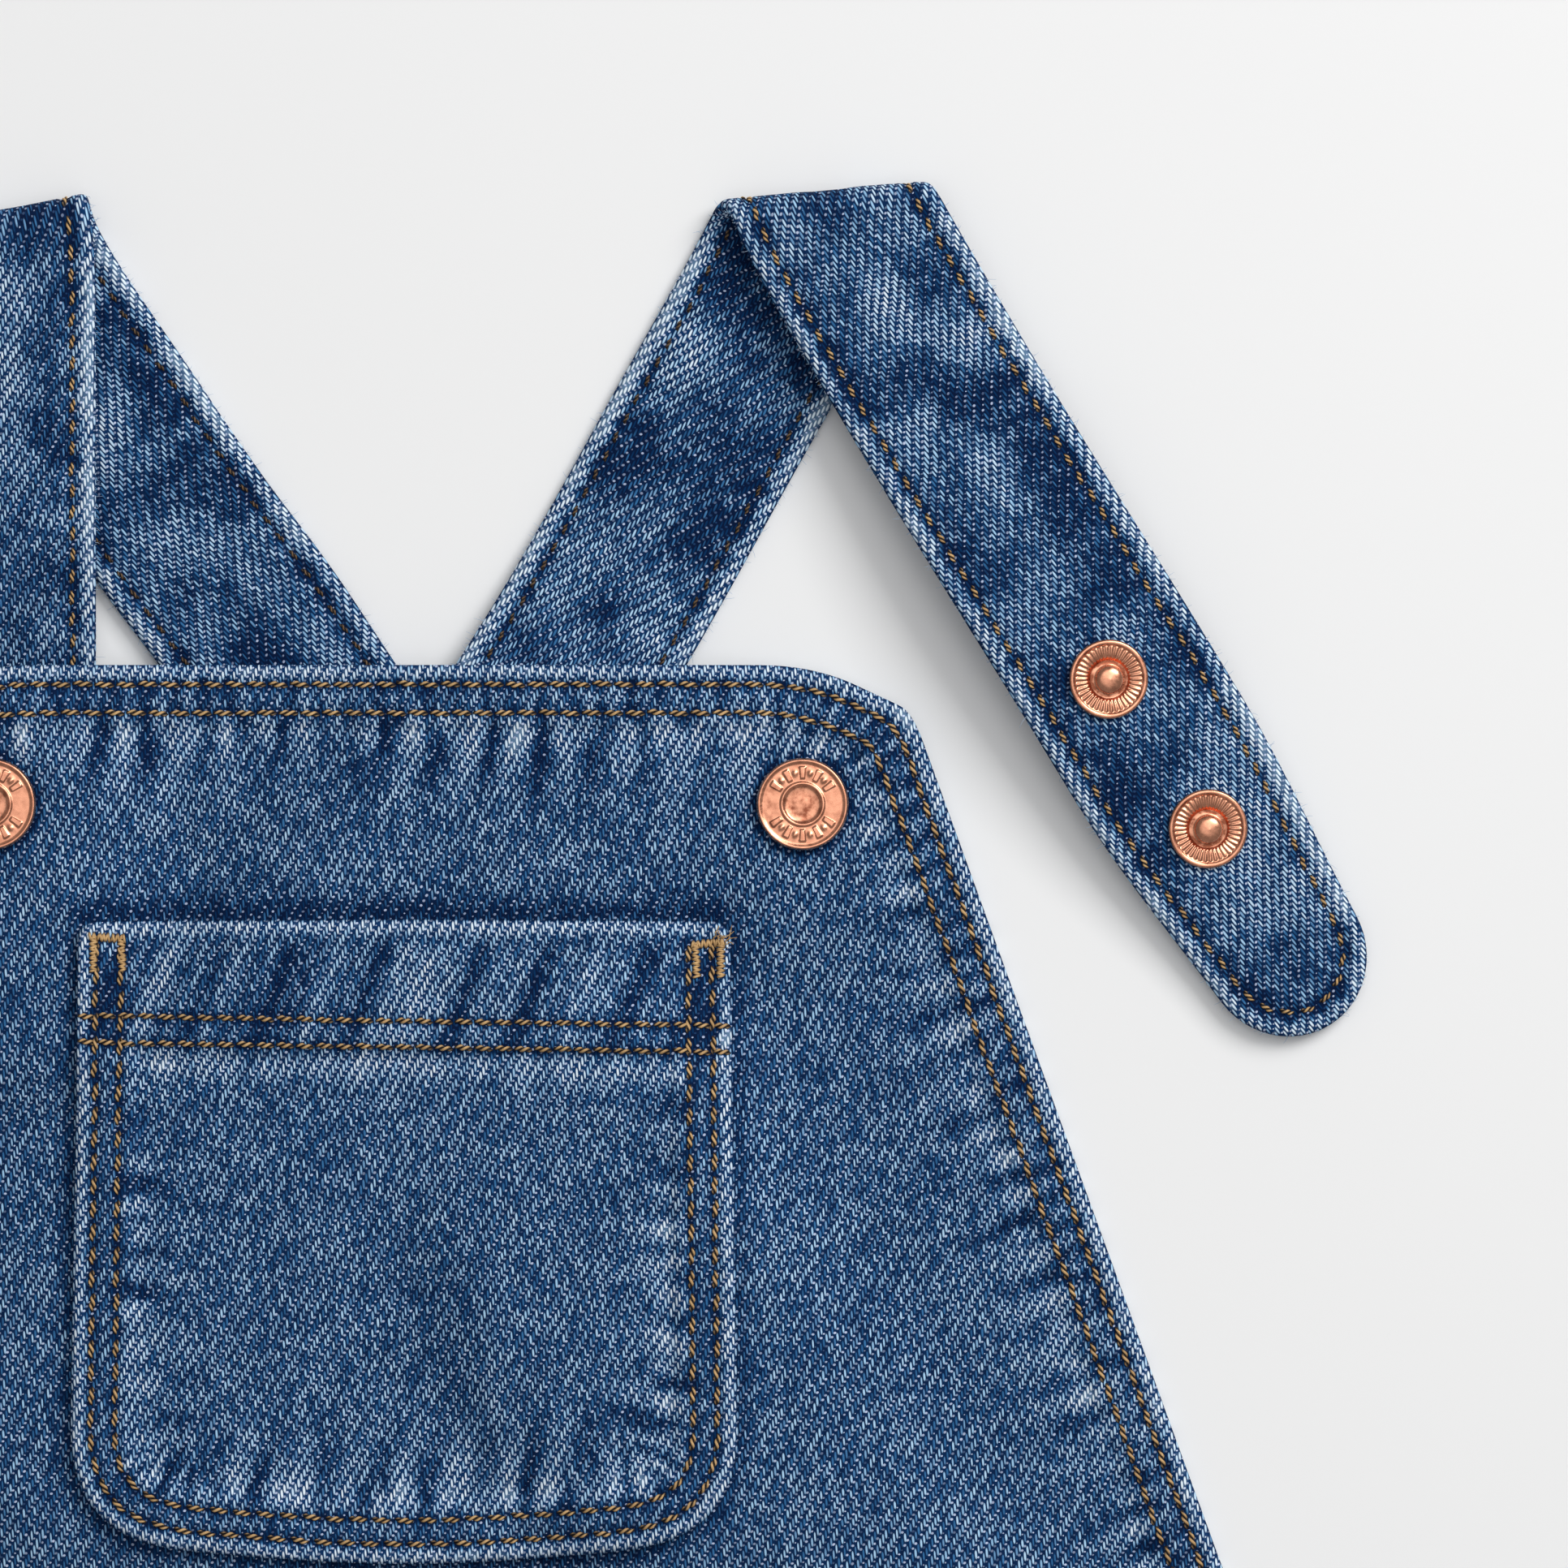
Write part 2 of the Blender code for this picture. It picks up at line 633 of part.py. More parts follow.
def frame_on(strap, s, w):
    """The point of a strap's front leg at length s and w right of its middle, and the way up there."""
    here, ahead, right = (strap.surface(*at) for at in ((s, w), (s + 1.0, w), (s, w - 1.0)))
    normal = np.cross(ahead - here, right - here)
    normal /= np.linalg.norm(normal)
    return here, normal * np.sign(normal[2])


def make_snaps(left, right, look):
    left_stack, right_stack = snap_stack(on_strap=True), snap_stack(on_strap=False)
    for side, sign, stack in (("left", -1, left_stack), ("right", 1, right_stack)):
        place = (sign * SNAP_X, SNAP_Y)
        turned(f"bib_cap_{side}", cap_profile(), 28, (*place, stack["cap"]), look)
        turned(f"bib_socket_{side}", socket_profile(), 20, (*place, stack["socket"]), look)
    # strap, stud, distance from the strap's end, distance right of its middle
    studs = [
        ("left", left, "upper", LAST_STUD_TO_END + STUD_PITCH, 0.0),
        ("left", left, "lower", LAST_STUD_TO_END, 0.0),
        ("right", right, "upper", LAST_STUD_TO_END + STUD_PITCH, -1.0),
        ("right", right, "lower", LAST_STUD_TO_END, 0.0),
    ]
    for side, strap, which, from_end, aside in studs:
        middle, up = frame_on(strap, strap.length - from_end, aside)
        on_top = middle + up * (STRAP_THICK / 2 + SEAM_GAP)
        beneath = middle - up * (STRAP_THICK / 2 + SEAM_GAP + POST_THICK)
        turned(f"stud_{side}_{which}", stud_profile(), 20, tuple(on_top), look, tuple(up))
        turned(f"post_{side}_{which}", post_profile(), 20, tuple(beneath), look, tuple(up))


def main():
    for old in list(bpy.data.objects):
        bpy.data.objects.remove(old)
    denim = material("denim", DENIM, 0.9, 0.0)
    copper = material("copper", COPPER, 0.28, 1.0)
    left, right = make_straps()
    back, front = back_outline(), front_outline()
    make_back(back, denim)
    make_front_and_pocket(front, Layers(left, right, back), denim)
    make_strap("strap_left", left, denim)
    make_strap("strap_right", right, denim)
    make_snaps(left, right, copper)


main()
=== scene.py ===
"""The looks of a baby's denim pinafore dress laid flat on its back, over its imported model.

Lengths are in millimetres, in the garment's own plan, as in the model: x is to the right of the centre
line, y is up from the bib's top edge, and z is the height over the floor. They turn into metres, in the
model's frame, where a mesh is made.
"""

import math

import bpy
import numpy as np
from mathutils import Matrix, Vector, geometry

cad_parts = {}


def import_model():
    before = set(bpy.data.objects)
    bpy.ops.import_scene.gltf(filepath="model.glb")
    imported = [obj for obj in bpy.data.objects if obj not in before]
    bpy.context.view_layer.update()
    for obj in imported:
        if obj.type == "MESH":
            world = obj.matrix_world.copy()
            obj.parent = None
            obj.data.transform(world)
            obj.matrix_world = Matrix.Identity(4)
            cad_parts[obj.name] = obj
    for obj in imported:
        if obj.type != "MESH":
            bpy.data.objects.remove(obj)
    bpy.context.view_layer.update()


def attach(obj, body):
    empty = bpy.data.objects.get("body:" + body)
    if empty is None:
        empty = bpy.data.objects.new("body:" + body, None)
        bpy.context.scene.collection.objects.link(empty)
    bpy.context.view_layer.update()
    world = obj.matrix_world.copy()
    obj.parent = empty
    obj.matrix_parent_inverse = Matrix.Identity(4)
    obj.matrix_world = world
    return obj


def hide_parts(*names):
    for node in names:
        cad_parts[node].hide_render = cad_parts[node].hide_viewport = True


METRES = 0.001
BIB_TOP_Y = 131.2

# Cloth
CLOTH = 1.0
TURNED = 2.0
STRAP_THICK = 2.0
SEAM_GAP = 0.3
EDGE_TURN = 7.0
HEM_TURN = 18.0
TURN_STEP = 1.4

# Front and back panels, right half
BIB_STRAIGHT = 47.0
BIB_SLOPE_BEND = (53.5, 0.0)
BIB_SLOPE = (58.8, -2.3)
BIB_SHOULDER = (65.0, -5.2)
BIB_CORNER_BEND = (66.6, -5.9)
BIB_CORNER_END = (68.0, -9.6)
ARMHOLE_LOW = (106.4, -115.5)
UNDERARM_BEND = (113.5, -135.0)
UNDERARM = (124.0, -145.0)
HEM_SIDE = (165.0, -318.0)
HEM_MIDDLE_Y = -325.0
BACK_TOP_Y = -75.0
BACK_TOP_HALF = 43.0
BACK_CORNER = 4.0
BACK_CURVE = [(55.0, -121.0), (88.0, -141.0)]

# Bib pocket
POCKET_X = 1.0
POCKET_TOP_Y = -32.9
POCKET_HALF_TOP = 41.8
POCKET_HALF = 43.1
POCKET_CORNER_Y = -98.5
POCKET_CORNER_IN = 28.0
POCKET_LOW_Y = -114.6
POCKET_BOTTOM_Y = -116.4
POCKET_HEM = 16.5
POCKET_TURN = 7.0
POCKET_MOUTH_LIFT = 1.0

# Straps
STRAP_HALF = 12.75
STRAP_END_HALF = 10.0
STRAP_TAPER = 42.0
FOLD_RADIUS = 2.2

# Snaps
SNAP_X = 52.5
SNAP_Y = -18.0
STUD_PITCH = 23.2
LAST_STUD_TO_END = 30.2
CAP_RADIUS = 6.0
CAP_THICK = 1.4
CAP_RELIEF = 0.17
CAP_ARC_START = 27.0  # degrees from where the arc of its ornament starts
CAP_MARK_TURN = 14.0  # degrees for each bar or bead
SOCKET_RADIUS = 5.0
SOCKET_THICK = 1.8
SOCKET_HOLE = 2.55
SOCKET_DEPTH = 1.5
STUD_RADIUS = 5.15
STUD_FLANGE = 0.7
STUD_BALL_TOP = 1.9
STUD_HEIGHT = 2.1
STUD_FLUTES = 38
STUD_FLUTE_DEPTH = 0.07
STUD_DARK_RINGS = [(2.2, 0.26, 1.8), (4.45, 0.1, 0.7)]  # radius, width, strength
POST_RADIUS = 4.4
POST_THICK = 0.7
SNAP_PAD = 8.5

# How the front lies over what is beneath: its reach down to the floor, and how sharply layers blend
DRAPE = 21.0
BLEND = 6.0

# Photograph: its middle in the garment's plan and the width that it takes in
VIEW_MIDDLE = (50.1, -15.4)
VIEW_WIDTH = 203.4
CAMERA_HEIGHT = 2000.0
SENSOR = 36.0

# Floor, and where the lamps point, in metres
FLOOR_HALF = 1.5
FLOOR_GAP = 0.0002
LIT_PLACE = (0.05, 0.11, 0.0)

# Where the mesh is fine: what the photograph shows of the panels
FINE_LEFT = -58.0
FINE_RIGHT = 118.0
FINE_BOTTOM = -124.0
FINE_STEP = 0.95
POCKET_STEP = 0.85
STRAP_STEP = 0.9
COARSE_STEP = 3.0
FINE_EDGE = 0.7
COARSE_EDGE = 2.4
BACK_EDGE = 2.0
EDGE_DEPTHS = [0.12, 0.4, 0.85, 1.4, 2.0]
MESH_ROWS_FRONT = [2.5, 3.1, 4.3, 5.5, 6.2, 6.9, 8.0]
MESH_ROWS_POCKET = [2.6, 3.2, 4.2, 5.1, 5.7, 6.5]
MESH_ROWS_BACK = [3.0, 5.0, 7.0, 8.4]
MESH_ROWS_STRAP = [2.6, 3.0, 3.4, 4.0]
EDGE_ROUND = 1.0

# Where the bib's corner is rubbed almost white
WORN_CORNER = (65.9, -6.6)

# The strong streaks under the bib's top edge have faded away down here
TOP_STREAKS_END = -26.0

# Bartacks: corner, x of the outer and inner leg, y of the bar, y of the legs' ends
BARTACKS = [("left", -39.1, -35.6, -35.2, -39.6), ("right", 41.9, 38.6, -36.0, -40.4)]
FRAYED_CORNER = [(42.2, -35.2), (41.4, -35.0), (42.6, -36.0)]
FRAYED_THREADS = 26

# Sewing
ROWS_BIB = (2.5, 6.2)
ROWS_POCKET = (2.6, 5.7)
ROWS_POCKET_HEM = (12.4, 15.8)
POCKET_HEM_DROP = 0.016  # how much the pocket's hem drops to the right, for each millimetre
ROWS_HEM = (13.2, 16.6)
ROW_STRAP = 3.0
PITCH_BIB = 2.8
PITCH_ARMHOLE = 3.0
PITCH_POCKET_HEM = 2.53
PITCH_STRAP = 2.75
THREAD = 0.84
STRAP_THREAD = 0.72
UNDER_THREAD = 0.62
PATH_STEP = 0.5  # between the points of a row of stitches


def smooth(t):
    t = np.clip(t, 0.0, 1.0)
    return t * t * (3.0 - 2.0 * t)


def bell(x, width):
    return np.exp(-((x / width) ** 2))


def bezier(points, count):
    """Points along a Bezier curve of any degree, without its first point."""
    degree = len(points) - 1
    made = []
    for i in range(1, count + 1):
        t = i / count
        weights = [math.comb(degree, k) * t**k * (1 - t) ** (degree - k) for k in range(degree + 1)]
        made.append(tuple(sum(w * p[axis] for w, p in zip(weights, points)) for axis in (0, 1)))
    return made


def hem_curve():
    """The hem from the right side seam to the middle of the garment."""
    side_x, side_y = HEM_SIDE
    rise = side_y - HEM_MIDDLE_Y
    shares = [1 - i / 12 for i in range(1, 13)]
    return [(side_x * share, HEM_MIDDLE_Y + rise * share**2) for share in shares]


def both_sides(right_half):
    """A closed outline from its right half, clockwise from the top middle to the bottom middle."""
    left_half = [(-x, y) for x, y in reversed(right_half[1:-1])]
    return np.array(right_half + left_half)


def front_outline():
    top_end = (BIB_STRAIGHT, 0.0)
    half = [(0.0, 0.0), top_end]
    half += bezier([top_end, BIB_SLOPE_BEND, BIB_SLOPE], 8)
    half += [BIB_SHOULDER]
    half += bezier([BIB_SHOULDER, BIB_CORNER_BEND, BIB_CORNER_END], 6)
    half += [ARMHOLE_LOW]
    half += bezier([ARMHOLE_LOW, UNDERARM_BEND, UNDERARM], 8)
    half += [HEM_SIDE]
    half += hem_curve()
    return both_sides(half)


def back_outline():
    top_end = (BACK_TOP_HALF, BACK_TOP_Y)
    corner_bend = (BACK_TOP_HALF + 0.75 * BACK_CORNER, BACK_TOP_Y)
    corner_end = (BACK_TOP_HALF + 0.875 * BACK_CORNER, BACK_TOP_Y - BACK_CORNER)
    half = [(0.0, BACK_TOP_Y), top_end]
    half += bezier([top_end, corner_bend, corner_end], 4)
    half += bezier([corner_end] + BACK_CURVE + [UNDERARM], 16)
    half += [HEM_SIDE]
    half += hem_curve()
    return both_sides(half)


def pocket_outline():
    """A patch with a straight mouth, round lower corners and a slightly bowed bottom."""
    corner = (POCKET_HALF, POCKET_CORNER_Y)
    low = (POCKET_CORNER_IN, POCKET_LOW_Y)
    top = (POCKET_HALF_TOP, POCKET_TOP_Y - 0.4)
    half = [(0.0, POCKET_TOP_Y), (POCKET_HALF_TOP - 2.0, POCKET_TOP_Y - 0.3)]
    half += bezier([half[-1], top, (POCKET_HALF_TOP + 0.4, POCKET_TOP_Y - 2.6)], 5)
    half += [corner]
    half += bezier([corner, (POCKET_HALF + 0.4, POCKET_LOW_Y + 1.5), low], 12)
    half += bezier([low, (12.0, POCKET_BOTTOM_Y), (0.0, POCKET_BOTTOM_Y)], 6)
    return both_sides(half) + (POCKET_X, 0.0)


def nearest(points, path, closed=True):
    """How far each point is from a path of straight pieces, and how far along the path that is."""
    ends = np.roll(path, -1, axis=0) if closed else path[1:]
    starts = path if closed else path[:-1]
    along = ends - starts
    lengths = np.linalg.norm(along, axis=1)
    before = np.concatenate([[0.0], np.cumsum(lengths)[:-1]])
    away, at = [], []
    for block in np.array_split(points, max(1, len(points) // 8000)):
        offset = block[:, None, :] - starts[None]
        t = np.clip((offset * along).sum(2) / (lengths**2), 0.0, 1.0)
        gap = np.linalg.norm(offset - t[..., None] * along, axis=2)
        best = gap.argmin(1)
        rows = np.arange(len(block))
        away.append(gap[rows, best])
        at.append(before[best] + t[rows, best] * lengths[best])
    return np.concatenate(away), np.concatenate(at)


def inside(points, outline):
    """Whether each point is inside a closed outline."""
    x, y = points[:, 0, None], points[:, 1, None]
    x0, y0 = outline[:, 0], outline[:, 1]
    x1, y1 = np.roll(x0, -1), np.roll(y0, -1)
    crosses = (y0 > y) != (y1 > y)
    with np.errstate(divide="ignore", invalid="ignore"):
        at = x0 + (y - y0) / (y1 - y0) * (x1 - x0)
    return (crosses & (x < at)).sum(1) % 2 == 1


def lengths_along(path):
    """How far along an open path each of its points is."""
    steps = np.linalg.norm(np.diff(path, axis=0), axis=1)
    return np.concatenate([[0.0], np.cumsum(steps)])


def on_path(lengths, at, path):
    """The points of a path at some lengths along it, where at has the length at each of its own."""
    return np.stack([np.interp(lengths, at, path[:, i]) for i in (0, 1)], -1)


def unit(vectors):
    return vectors / np.linalg.norm(vectors, axis=-1, keepdims=True)


def resampled(path, spacing_at):
    """A closed path with points about spacing_at(points) apart."""
    ring = np.vstack([path, path[:1]])
    at = lengths_along(ring)
    fine = np.arange(0.0, at[-1], 0.1)
    share = np.concatenate([[0.0], np.cumsum(0.1 / spacing_at(on_path(fine, at, ring)))])[:-1]
    count = max(4, round(share[-1]))
    targets = np.arange(count) / count * share[-1]
    return on_path(np.interp(targets, share, fine), at, ring)


def every(step):
    """The same spacing all along an outline."""
    return lambda points: np.full(len(points), step)


def moved_in(path, depth, outline):
    """A closed clockwise path moved in by depth, without points that come too near the outline."""
    ahead = np.roll(path, -1, axis=0) - path
    behind = path - np.roll(path, 1, axis=0)
    heading = unit(unit(ahead) + unit(behind))
    moved = path + depth * np.stack([heading[:, 1], -heading[:, 0]], 1)
    return moved[inside(moved, outline) & (nearest(moved, outline)[0] > 0.97 * depth)]


def ripple(at, spacing, seed):
    """An uneven wave between -1 and 1 along a length, with a hump or a hollow about every spacing."""
    rng = np.random.default_rng(seed)
    sizes = rng.uniform(0.15, 1.0, 1024) * np.where(np.arange(1024) % 2, 1.0, -1.0)
    places = np.arange(1024) + rng.uniform(-0.3, 0.3, 1024)
    x = (np.asarray(at) / spacing) % 1000.0
    after = np.clip(np.searchsorted(places, x), 1, 1023)
    t = smooth((x - places[after - 1]) / (places[after] - places[after - 1]))
    return sizes[after - 1] * (1 - t) + sizes[after] * t


def mottle(points, size, seed):
    """Soft random blotches between -1 and 1, about size across."""
    grid = np.random.default_rng(seed).uniform(-1.0, 1.0, (256, 256))
    x, y = points[:, 0] / size + 100.0, points[:, 1] / size + 100.0
    i, j = np.floor(x).astype(int), np.floor(y).astype(int)
    tx, ty = smooth(x - i), smooth(y - j)
    i, j = i % 255, j % 255
    low = grid[i, j] * (1 - tx) + grid[i + 1, j] * tx
    high = grid[i, j + 1] * (1 - tx) + grid[i + 1, j + 1] * tx
    return low * (1 - ty) + high * ty


class Strap:
    """A strap of two layers that runs up from the back panel, folds over and comes down again.

    plan holds the middle of the strap as it lies, back leg and then front leg. The fold rolls about
    an axis through fold_at, turned fold_angle degrees from x. heights holds rows of
    (length along the strap from the fold, height of the strap's middle, tilt at its right edge).
    """

    def __init__(self, back_leg, front_leg, fold_at, fold_angle, heights):
        angle = math.radians(fold_angle)
        self.along = np.array([math.cos(angle), math.sin(angle)])
        self.away = np.array([-math.sin(angle), math.cos(angle)])
        self.fold_at = np.array(fold_at)
        unrolled = [np.array(p) for p in back_leg]
        for p in front_leg:
            a, q = self._in_fold_frame(np.array(p))
            unrolled.append(self.fold_at + a * self.along + (math.pi * FOLD_RADIUS - q) * self.away)
        self.middle = smooth_path(np.array(unrolled))
        self.length_at = lengths_along(self.middle)
        self.length = self.length_at[-1]
        _, q = self._in_fold_frame(self.middle)
        self.fold_length = np.interp(0.0, q, self.length_at)
        self.heights = np.array(heights)

    def _in_fold_frame(self, points):
        offset = points - self.fold_at
        return offset @ self.along, offset @ self.away

    def half_width(self, s):
        """Half the width at length s: it narrows over the taper and ends round."""
        left = self.length - s
        round_part = 1.0 - np.clip(left / STRAP_END_HALF, 0.0, 1.0)
        tapered = STRAP_END_HALF + (STRAP_HALF - STRAP_END_HALF) * smooth(left / STRAP_TAPER)
        return tapered * np.sqrt(1.0 - round_part**2)

    def outline(self):
        """The flat strap's closed outline, as (length along it, distance right of its middle)."""
        straight = list(np.linspace(0.0, self.length - STRAP_TAPER, 4)[:-1])
        straight += list(np.linspace(self.length - STRAP_TAPER, self.length - STRAP_END_HALF, 8)[:-1])
        turns = np.linspace(0.0, math.pi / 2, 13)
        s = np.array(straight + [self.length - STRAP_END_HALF * (1 - math.sin(t)) for t in turns])
        w = self.half_width(s)
        right = np.stack([s, w], 1)
        left = np.stack([s, -w], 1)[::-1][1:]
        return np.vstack([right, left])

    def surface(self, s, w, h=0.0):
        """The point at length s, w to the right of the middle and h out of its inner face, as it lies."""
        s, w, h = np.broadcast_arrays(np.asarray(s, float), w, h)
        behind, place, ahead = (on_path(s + step, self.length_at, self.middle) for step in (-0.5, 0.0, 0.5))
        heading = unit(ahead - behind)
        right = np.stack([heading[..., 1], -heading[..., 0]], -1)
        a, q = self._in_fold_frame(place + w[..., None] * right)
        turn = np.clip(q / FOLD_RADIUS, 0.0, math.pi)
        rolled = np.where(turn < math.pi, FOLD_RADIUS * np.sin(turn), math.pi * FOLD_RADIUS - q)
        out = np.where(q <= 0, q, rolled)
        plan = self.fold_at + a[..., None] * self.along + out[..., None] * self.away
        plan = plan - (h * np.sin(turn))[..., None] * self.away
        from_fold = s - self.fold_length
        level = eased(from_fold, self.heights[:, 0], self.heights[:, 1])
        tilt = eased(from_fold, self.heights[:, 0], self.heights[:, 2]) * w / STRAP_HALF
        z = level + tilt + FOLD_RADIUS * (1.0 - np.cos(turn)) + h * np.cos(turn)
        return np.concatenate([plan, z[..., None]], -1)


def eased(at, rows, values):
    """Values between rows, with a soft start and end to each step."""
    low = np.clip(np.searchsorted(rows, at, side="right") - 1, 0, len(rows) - 2)
    t = smooth((at - rows[low]) / (rows[low + 1] - rows[low]))
    return values[low] + (values[low + 1] - values[low]) * t


def smooth_path(points, step=1.0):
    """A smooth curve through the points, as points about step apart."""
    before = 2 * points[0] - points[1]
    after = 2 * points[-1] - points[-2]
    p = np.vstack([before, points, after])
    made = [points[0]]
    for i in range(1, len(p) - 2):
        count = max(2, round(np.linalg.norm(p[i + 1] - p[i]) / step))
        for t in np.arange(1, count + 1) / count:
            a = 2 * p[i] + (p[i + 1] - p[i - 1]) * t
            b = (2 * p[i - 1] - 5 * p[i] + 4 * p[i + 1] - p[i + 2]) * t**2
            c = (3 * p[i] - p[i - 1] - 3 * p[i + 1] + p[i + 2]) * t**3
            made.append((a + b + c) / 2)
    return np.array(made)


def make_straps():
    rest = STRAP_THICK / 2
    over_back = TURNED + SEAM_GAP + rest
    over_strap = STRAP_THICK + SEAM_GAP + rest
    on_post = POST_THICK + SEAM_GAP + rest
    roll = 2 * FOLD_RADIUS
    right = Strap(
        back_leg=[(-38.0, -97.0), (-25.5, -75.0), (-1.5, -37.0), (22.6, 0.0), (39.4, 29.5), (53.0, 54.5)],
        front_leg=[(58.8, 55.0), (73.7, 29.5), (92.8, -1.4), (104.9, -21.2), (120.9, -46.6)],
        fold_at=(56.0, 58.4),
        fold_angle=5.0,
        # from the fold, height, tilt
        heights=[
            (-200.0, over_back, 0.0),
            (-76.0, over_strap, 0.0),
            (-46.0, rest, 0.0),
            (6.0, rest, 0.0),
            (58.0, rest + 2.4, -1.2),
            (126.0, on_post - roll, 0.0),
        ],
    )
    left_rise = [(38.0, -97.0), (25.5, -75.0), (5.8, -34.0), (-15.4, 0.0)]
    left_top = [(-27.6, 16.8), (-36.3, 29.5), (-50.0, 50.5)]
    left = Strap(
        back_leg=left_rise + left_top,
        front_leg=[(-51.9, 53.0), (-51.7, 30.0), (-51.8, 0.0), (-52.5, -18.0), (-52.6, -71.4)],
        fold_at=(-51.4, 55.7),
        fold_angle=11.5,
        # from the fold, height, tilt
        heights=[
            (-200.0, over_back, 0.0),
            (-144.0, over_back, 0.0),
            (-127.0, rest, 0.0),
            (44.0, rest, 0.0),
            (70.0, on_post - roll, 0.0),
            (140.0, on_post - roll, 0.0),
        ],
    )
    return left, right


def snap_stack(on_strap):
    """Heights of the undersides of the pieces at a bib snap, from the surface up."""
    made, z = {}, 0.0
    if on_strap:
        made["post"] = z
        z += POST_THICK + SEAM_GAP
        made["strap"] = z
        z += STRAP_THICK + SEAM_GAP
        made["stud"] = z
        z += STUD_FLANGE + SEAM_GAP
    made["socket"] = z
    z += SOCKET_THICK + SEAM_GAP
    made["bib"] = z
    z += CLOTH + SEAM_GAP
    made["cap"] = z
    return made


class Layers:
    """The height of the underside of the front panel, over all that lies beneath it."""

    def __init__(self, left, right, back):
        self.back = back
        self.pads = []
        for strap in (left, right):
            s = np.arange(0.0, strap.length, 3.0)
            middle = strap.surface(s, 0.0)
            under = middle[:, 1] < 6.0
            beside = (s > strap.fold_length) & (middle[:, 0] > 0)
            keep = under & ~beside
            top = middle[keep, 2] + STRAP_THICK / 2 + 2 * SEAM_GAP
            self.pads.append((middle[keep, :2], top, STRAP_HALF + 1.5))
        left_snap = snap_stack(on_strap=True)["bib"]
        right_snap = snap_stack(on_strap=False)["bib"]
        studs = np.array([(-SNAP_X, SNAP_Y - STUD_PITCH * share) for share in (0.0, 0.5, 1.0)])
        self.pads.append((studs, np.full(3, left_snap), SNAP_PAD))
        self.pads.append((np.array([(SNAP_X, SNAP_Y)]), np.array([right_snap]), SNAP_PAD))

    def under_front(self, points):
        over_back = CLOTH + 2 * SEAM_GAP
        near_hem = smooth(1.0 - (points[:, 1] - HEM_MIDDLE_Y - HEM_TURN - 8.0) / 14.0)
        to_back, _ = nearest(points, self.back)
        turned_edge = smooth(1.0 - (to_back - EDGE_TURN - 3.0) / 8.0)
        over_back = over_back + (TURNED - CLOTH) * np.maximum(near_hem, turned_edge)
        outside = np.where(inside(points, self.back), 0.0, to_back)
        layers = [over_back * smooth(1.0 - outside / DRAPE)]
        for path, heights, half in self.pads:
            away = np.linalg.norm(points[:, None, :] - path[None], axis=2) - half
            layers.append((heights * smooth(1.0 - away / DRAPE)).max(1))
        return (np.array(layers) ** BLEND).sum(0) ** (1.0 / BLEND)


def rounded(thick, depth):
    """Half the wall's thickness at this depth in from a rounded edge."""
    t = np.clip(depth / EDGE_ROUND, 0.0, 1.0)
    return thick / 2 * np.sqrt(np.clip(1.0 - (1.0 - t) ** 2, 0.0, 1.0))


def edge_wear(depth, at):
    """Cloth is rubbed pale along its folded edge, unevenly, but for the very side of the fold."""
    reach = 1.1 + 0.35 * ripple(at, 1.7, 8)
    rubbed = (1.0 - smooth((depth - reach) / 1.3)) * smooth((depth + 0.1) / 0.5)
    return rubbed * (0.8 + 0.3 * ripple(at, 0.9, 9))


def row_marks(depth, at, row, pitch):
    """How deep a row of stitches pulls the cloth in, from 0 to 1, deepest where the thread goes in."""
    return bell(depth - row, 0.55) * (0.6 + 0.4 * np.cos(math.pi * at / pitch) ** 2)


def row_fade(depth, at, seed, strong):
    """Uneven pale blotches beside a double row of stitches, and streaks farther in, where strong is 1."""
    pale = bell(depth - 8.6 - 1.2 * ripple(at, 3.0, seed), 2.2)
    pale = pale * (0.40 + 0.85 * ripple(at, 2.3, seed + 100))
    far = smooth((depth - 6.8) / 2.0) * smooth((22.0 - depth) / 13.0)
    streaks = ripple(at + 0.2 * depth, 3.6, seed + 200) * far
    return 0.52 * pale + (0.20 + 0.22 * strong) * streaks


def wall_faces(under, thick, depth, rise):
    """The heights of the two faces of a wall whose edge is rounded and whose top rises unevenly."""
    half = rounded(thick, depth)
    middle = under + thick / 2
    return middle - half, middle + half + rise * np.clip(depth / EDGE_ROUND, 0.0, 1.0)


def blotches(points, seed):
    return mottle(points, 9.0, seed) * 0.6 + mottle(points, 4.0, seed + 1) * 0.4


def turned(depth, turn):
    """1 where the cloth is double, within a turned edge, down to 0 where it is a single layer."""
    return smooth((turn + TURN_STEP - depth) / TURN_STEP)


class Panel:
    """A flat-lying piece of cloth, whose wall says how high its two faces are."""

    def face(self, points, rise):
        _, top, _ = self.wall(points)
        return np.column_stack([points, top + rise])


